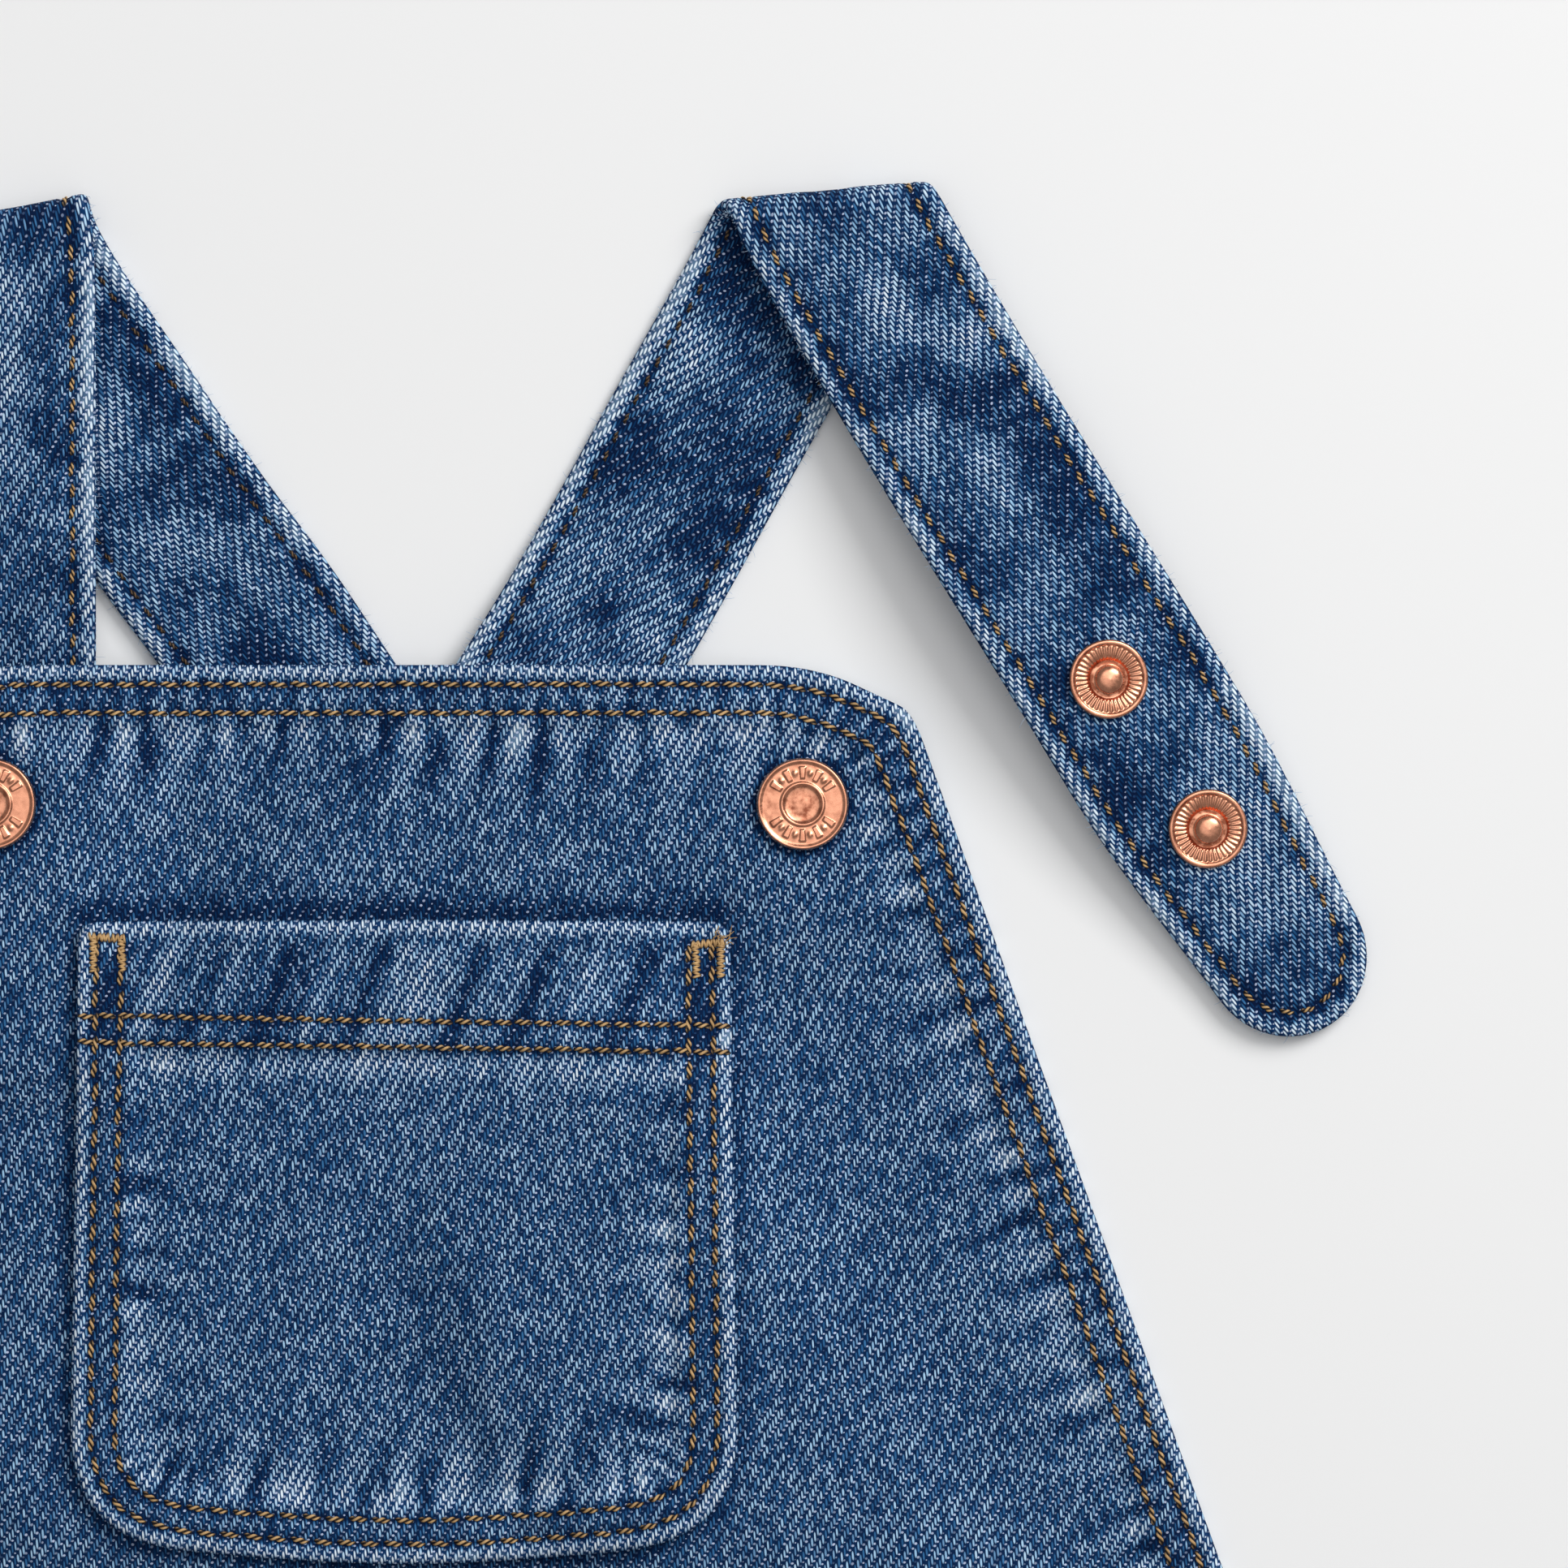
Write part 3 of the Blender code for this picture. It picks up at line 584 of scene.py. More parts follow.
class FrontPanel(Panel):
    """The front panel: a wall over all that lies beneath it, gathered a little along its seams."""

    def __init__(self, layers):
        self.outline = front_outline()
        self.pocket = pocket_outline()
        self.layers = layers
        half = [HEM_SIDE] + hem_curve()
        self.hem = np.array(half + [(-x, y) for x, y in reversed(half[:-1])])

    def wall(self, points):
        """The heights of the underside and the top, and the top's wear and painted shade, at each point."""
        under = self.layers.under_front(points)
        depth, at = nearest(points, self.outline)
        from_hem, hem_at = nearest(points, self.hem, closed=False)
        sewn = smooth((points[:, 1] - UNDERARM[1]) / 4.0)
        double = np.maximum(turned(depth, EDGE_TURN), turned(from_hem, HEM_TURN))
        thick = CLOTH + (TURNED - CLOTH) * double
        marks = sum(row_marks(depth, at, row, PITCH_ARMHOLE) for row in ROWS_BIB) * sewn
        marks = marks + sum(row_marks(from_hem, hem_at, row, PITCH_ARMHOLE) for row in ROWS_HEM)
        between = smooth(depth - 1.2) * smooth(7.4 - depth)
        beside = smooth((depth - 5.2) / 1.6) * smooth((19.0 - depth) / 12.5)
        gather = ripple(at, 3.1, 1) * beside * sewn
        band = ripple(at, 1.9, 2) * between * sewn
        hem_band = ripple(hem_at, 3.4, 3) * smooth((HEM_TURN + 10.0 - from_hem) / 12.0)
        hem_band = hem_band * smooth((from_hem - 2.0) / 6.0)
        broad = blotches(points, 4)
        rise = 0.28 * gather + 0.12 * band + 0.22 * hem_band + 0.10 * broad - 0.42 * marks
        rise = rise - 0.25 * self._snap_pinch_and_shadow(points)
        low, top = wall_faces(under, thick, depth, rise)
        wear_and_shade = 0.36 + 0.08 * broad + 0.30 * gather + 0.28 * band + 0.25 * hem_band
        # painted shade: darker in the grooves along the rows of stitches, most where the thread goes in;
        # and a painted shadow line round each cap
        wear_and_shade = wear_and_shade + 0.6 * edge_wear(depth, at) - 0.55 * marks - 0.5 * self._snap_pinch_and_shadow(points)
        wear_and_shade = wear_and_shade + 0.5 * bell(np.linalg.norm(points - WORN_CORNER, axis=1), 1.8)
        near_top = smooth((points[:, 1] - TOP_STREAKS_END) / 10.0)
        wear_and_shade = wear_and_shade + row_fade(depth, at, 7, near_top) * sewn
        # painted shadow: the panel darker in a band round the pocket's edge, wider and darker above its
        # mouth
        from_pocket, _ = nearest(points, self.pocket)
        above = smooth((points[:, 1] - POCKET_TOP_Y + 1.0) / 2.0)
        wear_and_shade = wear_and_shade - bell(from_pocket - 0.8, 1.0 + 1.2 * above) * (0.18 + 0.14 * above)
        return low, top, wear_and_shade

    def _snap_pinch_and_shadow(self, points):
        """Where the cloth is pinched round the caps, which also darkens its colour there as a painted
        shadow line round each cap.
        """
        away = [np.linalg.norm(points - (side * SNAP_X, SNAP_Y), axis=1) for side in (-1, 1)]
        return sum(bell(gap - CAP_RADIUS - 0.15, 0.5) for gap in away)


class Pocket(Panel):
    """A patch sewn on the bib, made from the front panel's own surface."""

    def __init__(self, front):
        self.outline = pocket_outline()
        self.front = front
        # its rows of stitches run on to the mouth, so they are moved in from an outline with a higher one
        at_mouth = self.outline[:, 1:] > POCKET_TOP_Y - 5.0
        self.taller = self.outline + np.where(at_mouth, (0.0, 12.0), 0.0)

    def hem_at(self, points):
        """How far each point is below the mouth, along a hem that drops a little to the right."""
        return POCKET_TOP_Y - points[:, 1] - POCKET_HEM_DROP * (points[:, 0] - POCKET_X + POCKET_HALF)

    def wall(self, points):
        _, under, _ = self.front.wall(points)
        under = under + SEAM_GAP
        down = POCKET_TOP_Y - points[:, 1]
        across = np.clip(1.0 - ((points[:, 0] - POCKET_X) / (POCKET_HALF - 4.0)) ** 2, 0.0, 1.0)
        under = under + POCKET_MOUTH_LIFT * across * smooth(1.0 - down / 45.0)
        depth, at = nearest(points, self.outline)
        below = self.hem_at(points)
        double = np.maximum(turned(depth, POCKET_TURN), turned(down, POCKET_HEM))
        thick = CLOTH + (TURNED - CLOTH) * double
        under_mouth = smooth((down - 1.5) / 1.5)
        sides, side_at = nearest(points, self.taller)
        marks = sum(row_marks(sides, side_at, row, PITCH_ARMHOLE) for row in ROWS_POCKET) * under_mouth
        for row in ROWS_POCKET_HEM:
            marks = marks + row_marks(below, points[:, 0], row, PITCH_POCKET_HEM)
        beside = smooth((depth - 5.0) / 1.5) * smooth((15.0 - depth) / 8.5) * smooth((down - 18.0) / 3.0)
        gather = ripple(at, 3.6, 11) * beside
        hem_zone = smooth((below - 1.0) / 3.0) * smooth((20.0 - below) / 7.0)
        leaning = points[:, 0] + 0.4 * below
        hem_gather = (0.75 * ripple(leaning, 5.6, 12) + 0.4 * ripple(leaning, 2.1, 15)) * hem_zone
        broad = blotches(points, 13)
        crease = bell(points[:, 0] - 10.5 + 0.02 * points[:, 1], 2.6)
        crease = crease * smooth((-72.0 - points[:, 1]) / 12.0)
        rise = 0.25 * gather + 0.28 * hem_gather + 0.08 * broad - 0.40 * marks + 0.25 * crease
        low, top = wall_faces(under, thick, depth, rise)
        # painted shade: darker in the grooves along the rows of stitches, most where the thread goes in
        wear_and_shade = 0.36 + 0.08 * broad + 0.26 * gather + 0.50 * hem_gather - 0.55 * marks
        wear_and_shade = wear_and_shade + 0.08 * crease + 0.6 * edge_wear(depth, at)
        near_bottom = smooth((POCKET_CORNER_Y + 12.0 - points[:, 1]) / 10.0)
        wear_and_shade = wear_and_shade + row_fade(depth, at, 17, near_bottom) * smooth((down - 24.0) / 8.0)
        # the cloth just under the mouth's hem is rubbed pale
        under_hem = bell(below - 18.4, 1.8) * (0.7 + 0.5 * ripple(points[:, 0], 3.3, 18))
        return low, top, wear_and_shade + 0.5 * under_hem * smooth((depth - 4.0) / 3.0)


class BackPanel(Panel):
    """The back panel, flat on the surface with its right side down."""

    def __init__(self, hem):
        self.outline = back_outline()
        self.hem = hem

    def wall(self, points):
        depth, at = nearest(points, self.outline)
        from_hem, _ = nearest(points, self.hem, closed=False)
        double = np.maximum(turned(depth, EDGE_TURN), turned(from_hem, HEM_TURN))
        thick = CLOTH + (TURNED - CLOTH) * double
        low, top = wall_faces(0.0, thick, depth, 0.0)
        gather = ripple(at, 3.2, 22) * smooth((16.0 - depth) / 9.0)
        wear_and_shade = 0.45 + 0.15 * mottle(points, 7.0, 21) + 0.2 * gather + 0.5 * edge_wear(depth, at)
        return low, top, wear_and_shade


class StrapCloth:
    """A strap's cloth in its own flat coordinates: length along it, and distance right of its middle."""

    def __init__(self, strap, seed):
        self.strap = strap
        self.seed = seed
        self.outline = strap.outline()

    def wall(self, points):
        """How far the two faces lie from the strap's middle surface, and how worn they are, with painted
        shade in the stitch grooves.
        """
        depth, at = nearest(points, self.outline)
        marks = row_marks(depth, at, ROW_STRAP, PITCH_STRAP)
        gather = ripple(at, 2.6, self.seed) * smooth((8.0 - depth) / 6.0) * smooth((depth - 0.8) / 1.5)
        blotch = mottle(points * (0.8, 1.0), 7.0, self.seed + 1)
        small = mottle(points, 3.4, self.seed + 2)
        rise = 0.14 * gather + 0.12 * blotch + 0.05 * small - 0.40 * marks
        half = rounded(STRAP_THICK, depth) + rise * np.clip(depth / EDGE_ROUND, 0.0, 1.0)
        # painted shade: darker in the grooves along the rows of stitches, most where the thread goes in
        wear_and_shade = 0.36 + 0.38 * blotch + 0.20 * small + 0.22 * gather - 0.40 * marks
        wear_and_shade = wear_and_shade + 0.75 * edge_wear(depth, at)
        return -half, half, wear_and_shade

    def place(self, points, height):
        return self.strap.surface(points[:, 0], points[:, 1], height)

    def inner_face(self, points, rise):
        _, high, _ = self.wall(points)
        return self.place(points, high + rise)

    def outer_face(self, points, rise):
        low, _, _ = self.wall(points)
        return self.place(points, low - rise)


def edge_points(outline, spacing_at, rows):
    """The edge of a piece of cloth, and rows of points that follow it inside."""
    rim = resampled(outline, spacing_at)
    return rim, [moved_in(rim, depth, outline) for depth in EDGE_DEPTHS + rows]


def grid_points(outline, grid_step, rows):
    """An even grid inside a piece of cloth, clear of the rows of points along its edge."""
    low, high = outline.min(0), outline.max(0)
    grid = []
    for i, y in enumerate(np.arange(low[1], high[1], grid_step * 0.87)):
        xs = np.arange(low[0] + (i % 2) * grid_step / 2, high[0], grid_step)
        grid.append(np.column_stack([xs, np.full(len(xs), y)]))
    grid = np.vstack(grid)
    margin = max(EDGE_DEPTHS + rows) + 0.4 * grid_step
    grid = grid[inside(grid, outline)]
    return grid[nearest(grid, outline)[0] > margin]


def triangulated(rim, loose):
    """Triangles that fill the rim, through all the loose points inside it. The rim's points come first."""
    edges = [(i, (i + 1) % len(rim)) for i in range(len(rim))]
    points = [Vector(p) for p in np.vstack([rim] + loose)]
    made = geometry.delaunay_2d_cdt(points, edges, [], 0, 1e-4)
    verts = np.array([tuple(v) for v in made[0]])
    faces = np.array([list(f) for f in made[2]])
    return verts, faces[inside(verts[faces].mean(1), rim)]


def cloth_mesh(name, plan, faces, low, high, wear_and_shade_sets, weaves, look):
    """A closed wall: faces on plan points, the points of its lower and upper sides, and their looks."""
    used, faces = np.unique(faces, return_inverse=True)
    faces = faces.reshape(-1, 3)
    plan, low, high = plan[used], low[used], high[used]
    a, b, c = (plan[faces[:, i]] for i in range(3))
    clockwise = (b[:, 0] - a[:, 0]) * (c[:, 1] - a[:, 1]) < (b[:, 1] - a[:, 1]) * (c[:, 0] - a[:, 0])
    faces[clockwise] = faces[clockwise][:, ::-1]
    ends = np.concatenate([faces[:, [0, 1]], faces[:, [1, 2]], faces[:, [2, 0]]])
    _, index, uses = np.unique(np.sort(ends, axis=1), axis=0, return_inverse=True, return_counts=True)
    rim = ends[uses[index.reshape(-1)] == 1]
    n = len(plan)
    walls = np.vstack([np.column_stack([rim[:, 0], rim[:, 1], rim[:, 1] + n]),
                       np.column_stack([rim[:, 0], rim[:, 1] + n, rim[:, 0] + n])])
    triangles = np.vstack([faces[:, ::-1], faces + n, walls])
    made = mesh_piece(name, np.vstack([low, high]), triangles, look)
    add_values(made, "wear_and_shade", np.concatenate([w[used] for w in wear_and_shade_sets]))
    add_vectors(made, "weave", np.vstack([w[used] for w in weaves]))
    return made


def mesh_piece(name, verts, polygons, look):
    """An object from points in the garment's millimetres."""
    mesh = bpy.data.meshes.new(name)
    polygons = np.asarray(polygons, dtype=np.int32)
    count, sides = polygons.shape
    mesh.vertices.add(len(verts))
    moved = (np.asarray(verts, float) + (0.0, BIB_TOP_Y, 0.0)) * METRES
    mesh.vertices.foreach_set("co", moved.astype(np.float32).ravel())
    mesh.loops.add(count * sides)
    mesh.loops.foreach_set("vertex_index", polygons.ravel())
    mesh.polygons.add(count)
    mesh.polygons.foreach_set("loop_start", np.arange(0, count * sides, sides, dtype=np.int32))
    mesh.update(calc_edges=True)
    mesh.validate()
    mesh.shade_smooth()
    mesh.materials.append(look)
    made = bpy.data.objects.new(name, mesh)
    bpy.context.scene.collection.objects.link(made)
    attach(made, "root")
    return made


def stand_for(node):
    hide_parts(node)


def add_values(piece, name, values):
    attribute = piece.data.attributes.new(name, "FLOAT", "POINT")
    attribute.data.foreach_set("value", np.asarray(values, np.float32))


def add_vectors(piece, name, values):
    attribute = piece.data.attributes.new(name, "FLOAT_VECTOR", "POINT")
    attribute.data.foreach_set("vector", np.asarray(values, np.float32).ravel())


def panel_piece(name, cloth, spacing_at, grids, rows, look, right_side_up=True):
    """A panel's shell. grids holds rows of (step, whether a point belongs to this grid)."""
    rim, loose = edge_points(cloth.outline, spacing_at, rows)
    for step, wanted in grids:
        grid = grid_points(cloth.outline, step, rows)
        loose.append(grid[wanted(grid)])
    plan, faces = triangulated(rim, loose)
    under, top, wear_and_shade = cloth.wall(plan)
    weave = np.column_stack([plan, np.zeros(len(plan))])
    reverse = np.full(len(plan), 1.15)
    wear_and_shade_sets = (reverse, wear_and_shade) if right_side_up else (wear_and_shade, reverse)
    low, high = np.column_stack([plan, under]), np.column_stack([plan, top])
    mirrored = weave * (-1.0, 1.0, 1.0)
    return cloth_mesh(name, plan, faces, low, high, wear_and_shade_sets, (mirrored, weave), look)


def strap_piece(name, cloth, look):
    rim, inner = edge_points(cloth.outline, every(FINE_EDGE), MESH_ROWS_STRAP)
    plan, faces = triangulated(rim, inner + [grid_points(cloth.outline, STRAP_STEP, MESH_ROWS_STRAP)])
    low_h, high_h, wear_and_shade = cloth.wall(plan)
    zero = np.zeros(len(plan))
    low, high = cloth.place(plan, low_h), cloth.place(plan, high_h)
    s, w = plan[:, 0], plan[:, 1]
    inner_weave = np.column_stack([w, s, zero])
    outer_weave = np.column_stack([-w, s, zero + 1.0])
    # s runs along x in the flat plan and w along y, so the side that faces up there is the outer face
    flipped = faces[:, ::-1]
    weaves = (outer_weave, inner_weave)
    return cloth_mesh(name, plan[:, ::-1], flipped, low, high, (wear_and_shade, wear_and_shade), weaves, look)


def stitch_shape(width, turns=1.25, rings=11, sides=6):
    """One stitch of two twisted plies: rows of (share along it, sideways, up, shade) and its polygons."""
    rows, polygons = [], []
    for ply in (0, 1):
        start = len(rows)
        for i in range(rings):
            share = i / (rings - 1)
            swell = math.sin(math.pi * min(max(share, 0.06), 0.94)) ** 0.35
            arch = -0.24 + (0.24 + 0.26 * width) * max(0.0, math.sin(math.pi * share)) ** 0.4
            turn = 2 * math.pi * turns * share + math.pi * ply
            aside = 0.23 * width * swell * math.cos(turn)
            up = arch + 0.20 * width * swell * math.sin(turn)
            for k in range(sides):
                a = 2 * math.pi * k / sides
                radius = 0.27 * width * swell
                out, over = aside + radius * math.cos(a), up + radius * math.sin(a) - arch
                # painted shade: darker where the two plies meet, on their undersides and at the stitch's
                # ends, where it goes into the cloth
                hollow = 1.0 - smooth((math.hypot(out, over) / width - 0.18) / 0.30)
                under = 1.0 - smooth((over / width + 0.15) / 0.45)
                end = smooth((abs(share - 0.5) - 0.38) / 0.12)
                shade = 1.0 - (1.0 - hollow) * (1.0 - 0.8 * under) * (1.0 - 0.9 * end)
                rows.append((share, out, arch + over, shade))
        for i in range(rings - 1):
            for k in range(sides):
                j = (k + 1) % sides
                one, two = start + i * sides, start + (i + 1) * sides
                polygons.append((one + k, one + j, two + j, two + k))
    return np.array(rows), np.array(polygons)


def stitches(name, path, pitch, width, face, look, seed, cover=1.0, slant=0.12, plain=False):
    """A row of stitches along a flat path, on a face given as a function of flat points and rise."""
    rng = np.random.default_rng(seed)
    at = lengths_along(path)
    count = max(1, round(at[-1] / pitch))
    pitch = at[-1] / count
    rows, polygons = stitch_shape(width, rings=7, sides=4) if plain else stitch_shape(width)
    starts = (np.arange(count) + (1 - cover) / 2) * pitch
    shares = starts[:, None] + rows[None, :, 0] * cover * pitch
    centre = on_path(shares, at, path)
    along = unit(on_path(starts + cover * pitch, at, path) - on_path(starts, at, path))
    across = np.stack([along[:, 1], -along[:, 0]], -1)
    lean = slant * (1.0 + 0.4 * rng.normal(size=count))
    wander = 0.05 * rng.normal(size=count)
    aside = rows[None, :, 1] + lean[:, None] * (rows[None, :, 0] - 0.5) * 2 + wander[:, None]
    flat = centre + aside[..., None] * across[:, None, :]
    rise = np.broadcast_to(rows[None, :, 2], aside.shape)
    verts = face(flat.reshape(-1, 2), rise.reshape(-1))
    n = len(rows)
    all_polygons = (polygons[None] + (np.arange(count) * n)[:, None, None]).reshape(-1, 4)
    piece = mesh_piece(name, verts, all_polygons, look)
    tone = np.repeat(rng.uniform(-1.0, 1.0, count), n)
    add_values(piece, "tone", tone)
    add_values(piece, "shade", np.tile(rows[:, 3], count))
    return piece


def tubes(name, lines, radii, sides, look):
    """Many thin tubes in one mesh: lines is (tube, point along it, xyz), radii has one for each point."""
    along = np.gradient(lines, axis=1)
    along /= np.linalg.norm(along, axis=2, keepdims=True) + 1e-9
    one = np.cross(along, (0.13, 0.21, 0.97))
    one /= np.linalg.norm(one, axis=2, keepdims=True) + 1e-9
    two = np.cross(along, one)
    turn = 2 * math.pi * np.arange(sides) / sides
    around = one[:, :, None] * np.cos(turn)[:, None] + two[:, :, None] * np.sin(turn)[:, None]
    verts = lines[:, :, None] + around * np.asarray(radii)[None, :, None, None]
    count, points = lines.shape[:2]
    k = np.arange(sides)
    quad = np.stack([k, (k + 1) % sides, (k + 1) % sides + sides, k + sides], 1)
    strip = (quad[None] + (np.arange(points - 1) * sides)[:, None, None]).reshape(-1, 4)
    polygons = (strip[None] + (np.arange(count) * points * sides)[:, None, None]).reshape(-1, 4)
    return mesh_piece(name, verts.reshape(-1, 3), polygons, look)


def bartack(name, start, end, half, face, look, seed):
    """Thread wound close from side to side along a short line."""
    rng = np.random.default_rng(seed)
    start, end = np.array(start), np.array(end)
    length = np.linalg.norm(end - start)
    ahead = (end - start) / length
    side = np.array([ahead[1], -ahead[0]])
    count = max(4, round(length / 0.30))
    t = np.linspace(0.0, 1.0, 9)
    lines = []
    for i in range(count):
        across = np.linspace(-half, half, 9) * (-1) ** i * rng.uniform(0.85, 1.2)
        place = (i + 0.5 + 0.9 * (t - 0.5) + rng.uniform(-0.35, 0.35)) / count * length
        flat = start + place[:, None] * ahead + across[:, None] * side
        rise = -0.15 + (0.40 + rng.uniform(0.0, 0.22)) * np.sin(math.pi * t) ** 0.5
        lines.append(face(flat, rise))
    piece = tubes(name, np.array(lines), np.full(9, 0.17), 6, look)
    # painted shade: each thread darker towards its ends, where it goes into the cloth, and along some of
    # its sides
    height = np.sin(math.pi * t)[:, None] * (0.7 + 0.3 * np.abs(np.cos(np.arange(6) * math.pi / 3)))
    add_values(piece, "tone", np.repeat(rng.uniform(-1.0, 1.0, count), 9 * 6))
    add_values(piece, "shade", np.tile(np.clip(0.9 - height, 0.0, 1.0).ravel(), count))
    return piece


def fray(name, roots, ways, length, radius, look, seed):
    """Loose fibres that curl away from their roots, each along about its own way."""
    rng = np.random.default_rng(seed)
    count = len(roots)
    t = np.linspace(0.0, 1.0, 7)
    sizes = length * rng.uniform(0.3, 1.0, count) ** 1.5
    bend = rng.normal(size=(count, 3)) * (0.8, 0.8, 0.25)
    curl = rng.normal(size=(count, 3)) * (0.5, 0.5, 0.2)
    ways = ways + 0.35 * rng.normal(size=(count, 3)) * (1.0, 1.0, 0.4)
    path = ways[:, None] * t[None, :, None] + bend[:, None] * t[None, :, None] ** 2 * 0.5
    path = path + curl[:, None] * np.sin(t * 4.0)[None, :, None] * 0.18
    lines = np.asarray(roots)[:, None] + path * sizes[:, None, None]
    lines[..., 2] = np.maximum(lines[..., 2], 0.1)
    return tubes(name, lines, radius * (1.0 - 0.6 * t), 4, look)


def lathe(name, profile, sides, place, look, up=(0.0, 0.0, 1.0), ripple_at=None):
    """A body of revolution from (radius, height) rows, from the bottom of its axis round to the top."""
    verts, rings = [], []
    for radius, height in profile:
        if radius == 0.0:
            rings.append([len(verts)])
            verts.append((0.0, 0.0, height))
            continue
        rings.append(list(range(len(verts), len(verts) + sides)))
        for i in range(sides):
            a = 2 * math.pi * i / sides
            extra = ripple_at(radius, a, height) if ripple_at else 0.0
            verts.append((radius * math.cos(a), radius * math.sin(a), height + extra))
    triangles = []
    for low, high in zip(rings, rings[1:]):
        for i in range(sides):
            j = (i + 1) % sides
            if len(low) > 1:
                triangles.append((low[i], low[j], high[j % len(high)]))
            if len(high) > 1:
                triangles.append((low[i % len(low)], high[j], high[i]))
    turn = Vector((0.0, 0.0, 1.0)).rotation_difference(Vector(up)).to_matrix()
    moved = np.array(verts) @ np.array(turn).T + np.array(place)
    piece = mesh_piece(name, moved, triangles, look)
    piece.data.set_sharp_from_angle(angle=math.radians(50))
    return piece


def smoothed(profile, times=2):
    """A profile with its corners cut, for a stamped sheet's soft edges."""
    for _ in range(times):
        made = [profile[0]]
        for a, b in zip(profile, profile[1:]):
            made.append(tuple(0.75 * p + 0.25 * q for p, q in zip(a, b)))
            made.append(tuple(0.25 * p + 0.75 * q for p, q in zip(a, b)))
        made.append(profile[-1])
        profile = made
    return profile


def cap_profile():
    """A stamped cap: a rolled rim, a flat band for its ornament, a narrow ring and a dished middle."""
    r, t = CAP_RADIUS, CAP_THICK
    side = [(0.0, 0.0), (r - 0.5, 0.0), (r, 0.35), (r, 0.8), (r - 0.2, t - 0.03)]
    side += [(r - 0.42, t), (r - 0.62, t - 0.1)]
    band = [(x * r, t - 0.2) for x in np.linspace(0.86, 0.50, 26)]
    ring = [(0.48 * r, t - 0.12), (0.465 * r, t - 0.03), (0.43 * r, t - 0.03), (0.41 * r, t - 0.14)]
    dish = [(0.38 * r, t - 0.3), (0.28 * r, t - 0.38), (0.12 * r, t - 0.34), (0.0, t - 0.33)]
    return smoothed(side, 2) + band + smoothed(ring + dish, 1)


def cap_relief(radius, angle, height):
    """Two arcs of plain raised bars and beads between the cap's rim and its ring."""
    out = radius / CAP_RADIUS
    turn = math.degrees(angle) % 180.0
    if height < CAP_THICK * 0.6 or not CAP_ARC_START < turn < 180.0 - CAP_ARC_START:
        return 0.0
    step = (turn - CAP_ARC_START) / CAP_MARK_TURN
    number, place = int(step), step % 1.0 - 0.5
    if number % 2:
        return CAP_RELIEF * float(bell(out - 0.68, 0.075) * bell(place, 0.33))
    bar = smooth((out - 0.53) / 0.04) * smooth((0.83 - out) / 0.04)
    return CAP_RELIEF * float(bar * smooth((0.42 - abs(place)) / 0.14))


def from_axis(piece, place):
    """Where each point of a round piece lies from its axis, seen from above."""
    co = np.empty(len(piece.data.vertices) * 3, np.float32)
    piece.data.vertices.foreach_get("co", co)
    return co.reshape(-1, 3)[:, :2] / METRES - (place[0], place[1] + BIB_TOP_Y)


def cap_patina_and_shade(cap, place):
    """How dark each point of a cap is: patina most in its middle, and painted shade on its left."""
    offset = from_axis(cap, place)
    out = np.linalg.norm(offset, axis=1) / CAP_RADIUS
    # painted shade: the band darker on the cap's left, the side away from the light
    left = smooth((-offset[:, 0] / CAP_RADIUS - 0.45) / 0.3) * bell(out - 0.7, 0.14)
    return 0.7 * smooth((0.41 - out) / 0.08) + 0.5 * left + 0.5 * bell(out - 0.40, 0.03)


def socket_profile():
    r, t = SOCKET_RADIUS, SOCKET_THICK
    return [
        (0.0, SOCKET_DEPTH), (SOCKET_HOLE, SOCKET_DEPTH), (SOCKET_HOLE, 0.0), (r - 0.4, 0.0), (r, 0.5),
        (r, t - 0.4), (r - 0.4, t), (0.0, t),
    ]


def stud_profile():
    r, f = STUD_RADIUS, STUD_FLANGE
    rim = [(0.0, 0.0), (r - 0.25, 0.0), (r, 0.2), (r, 0.45), (r - 0.14, f - 0.02), (r - 0.34, f + 0.03)]
    rim += [(r - 0.56, f), (r - 0.76, f - 0.14), (r - 0.86, f - 0.16)]
    dish = [(r - 1.2, f - 0.15), (r - 1.8, f - 0.2), (r - 2.3, f - 0.3)]
    dish += [(r - 2.6, f - 0.5), (r - 2.8, f - 0.55)]
    b = STUD_BALL_TOP
    neck = [(b - 0.1, f - 0.5), (b - 0.35, f - 0.1)]
    ball = [(b, f + 0.4), (b - 0.1, f + 0.9), (b - 0.7, STUD_HEIGHT - 0.12), (0.0, STUD_HEIGHT)]
    return smoothed(rim + dish + neck + ball)


def stud_relief(radius, angle, height):
    """Fine flutes on the stud's dish."""
    if height < 0.1 or height > STUD_FLANGE:
        return 0.0
    zone = smooth((radius / STUD_RADIUS - 0.52) / 0.06) * smooth((0.86 - radius / STUD_RADIUS) / 0.05)
    return STUD_FLUTE_DEPTH * float(zone) * math.cos(STUD_FLUTES * angle)


def stud_patina(stud, place):
    """How dark each point of a stud is."""
    out = np.linalg.norm(from_axis(stud, place), axis=1)
    return sum(strength * bell(out - radius, width) for radius, width, strength in STUD_DARK_RINGS)


def post_profile():
    r, t = POST_RADIUS, POST_THICK
    return smoothed([(0.0, 0.0), (r - 0.3, 0.0), (r, 0.3), (r - 0.3, t), (0.0, t)], 1)


def frame_on(strap, s, w):
    """The point of a strap's front leg at length s and w right of its middle, and the way up there."""
    here, ahead, right = (strap.surface(*at) for at in ((s, w), (s + 1.0, w), (s, w - 1.0)))
    normal = unit(np.cross(ahead - here, right - here))
    return here, normal * np.sign(normal[2])


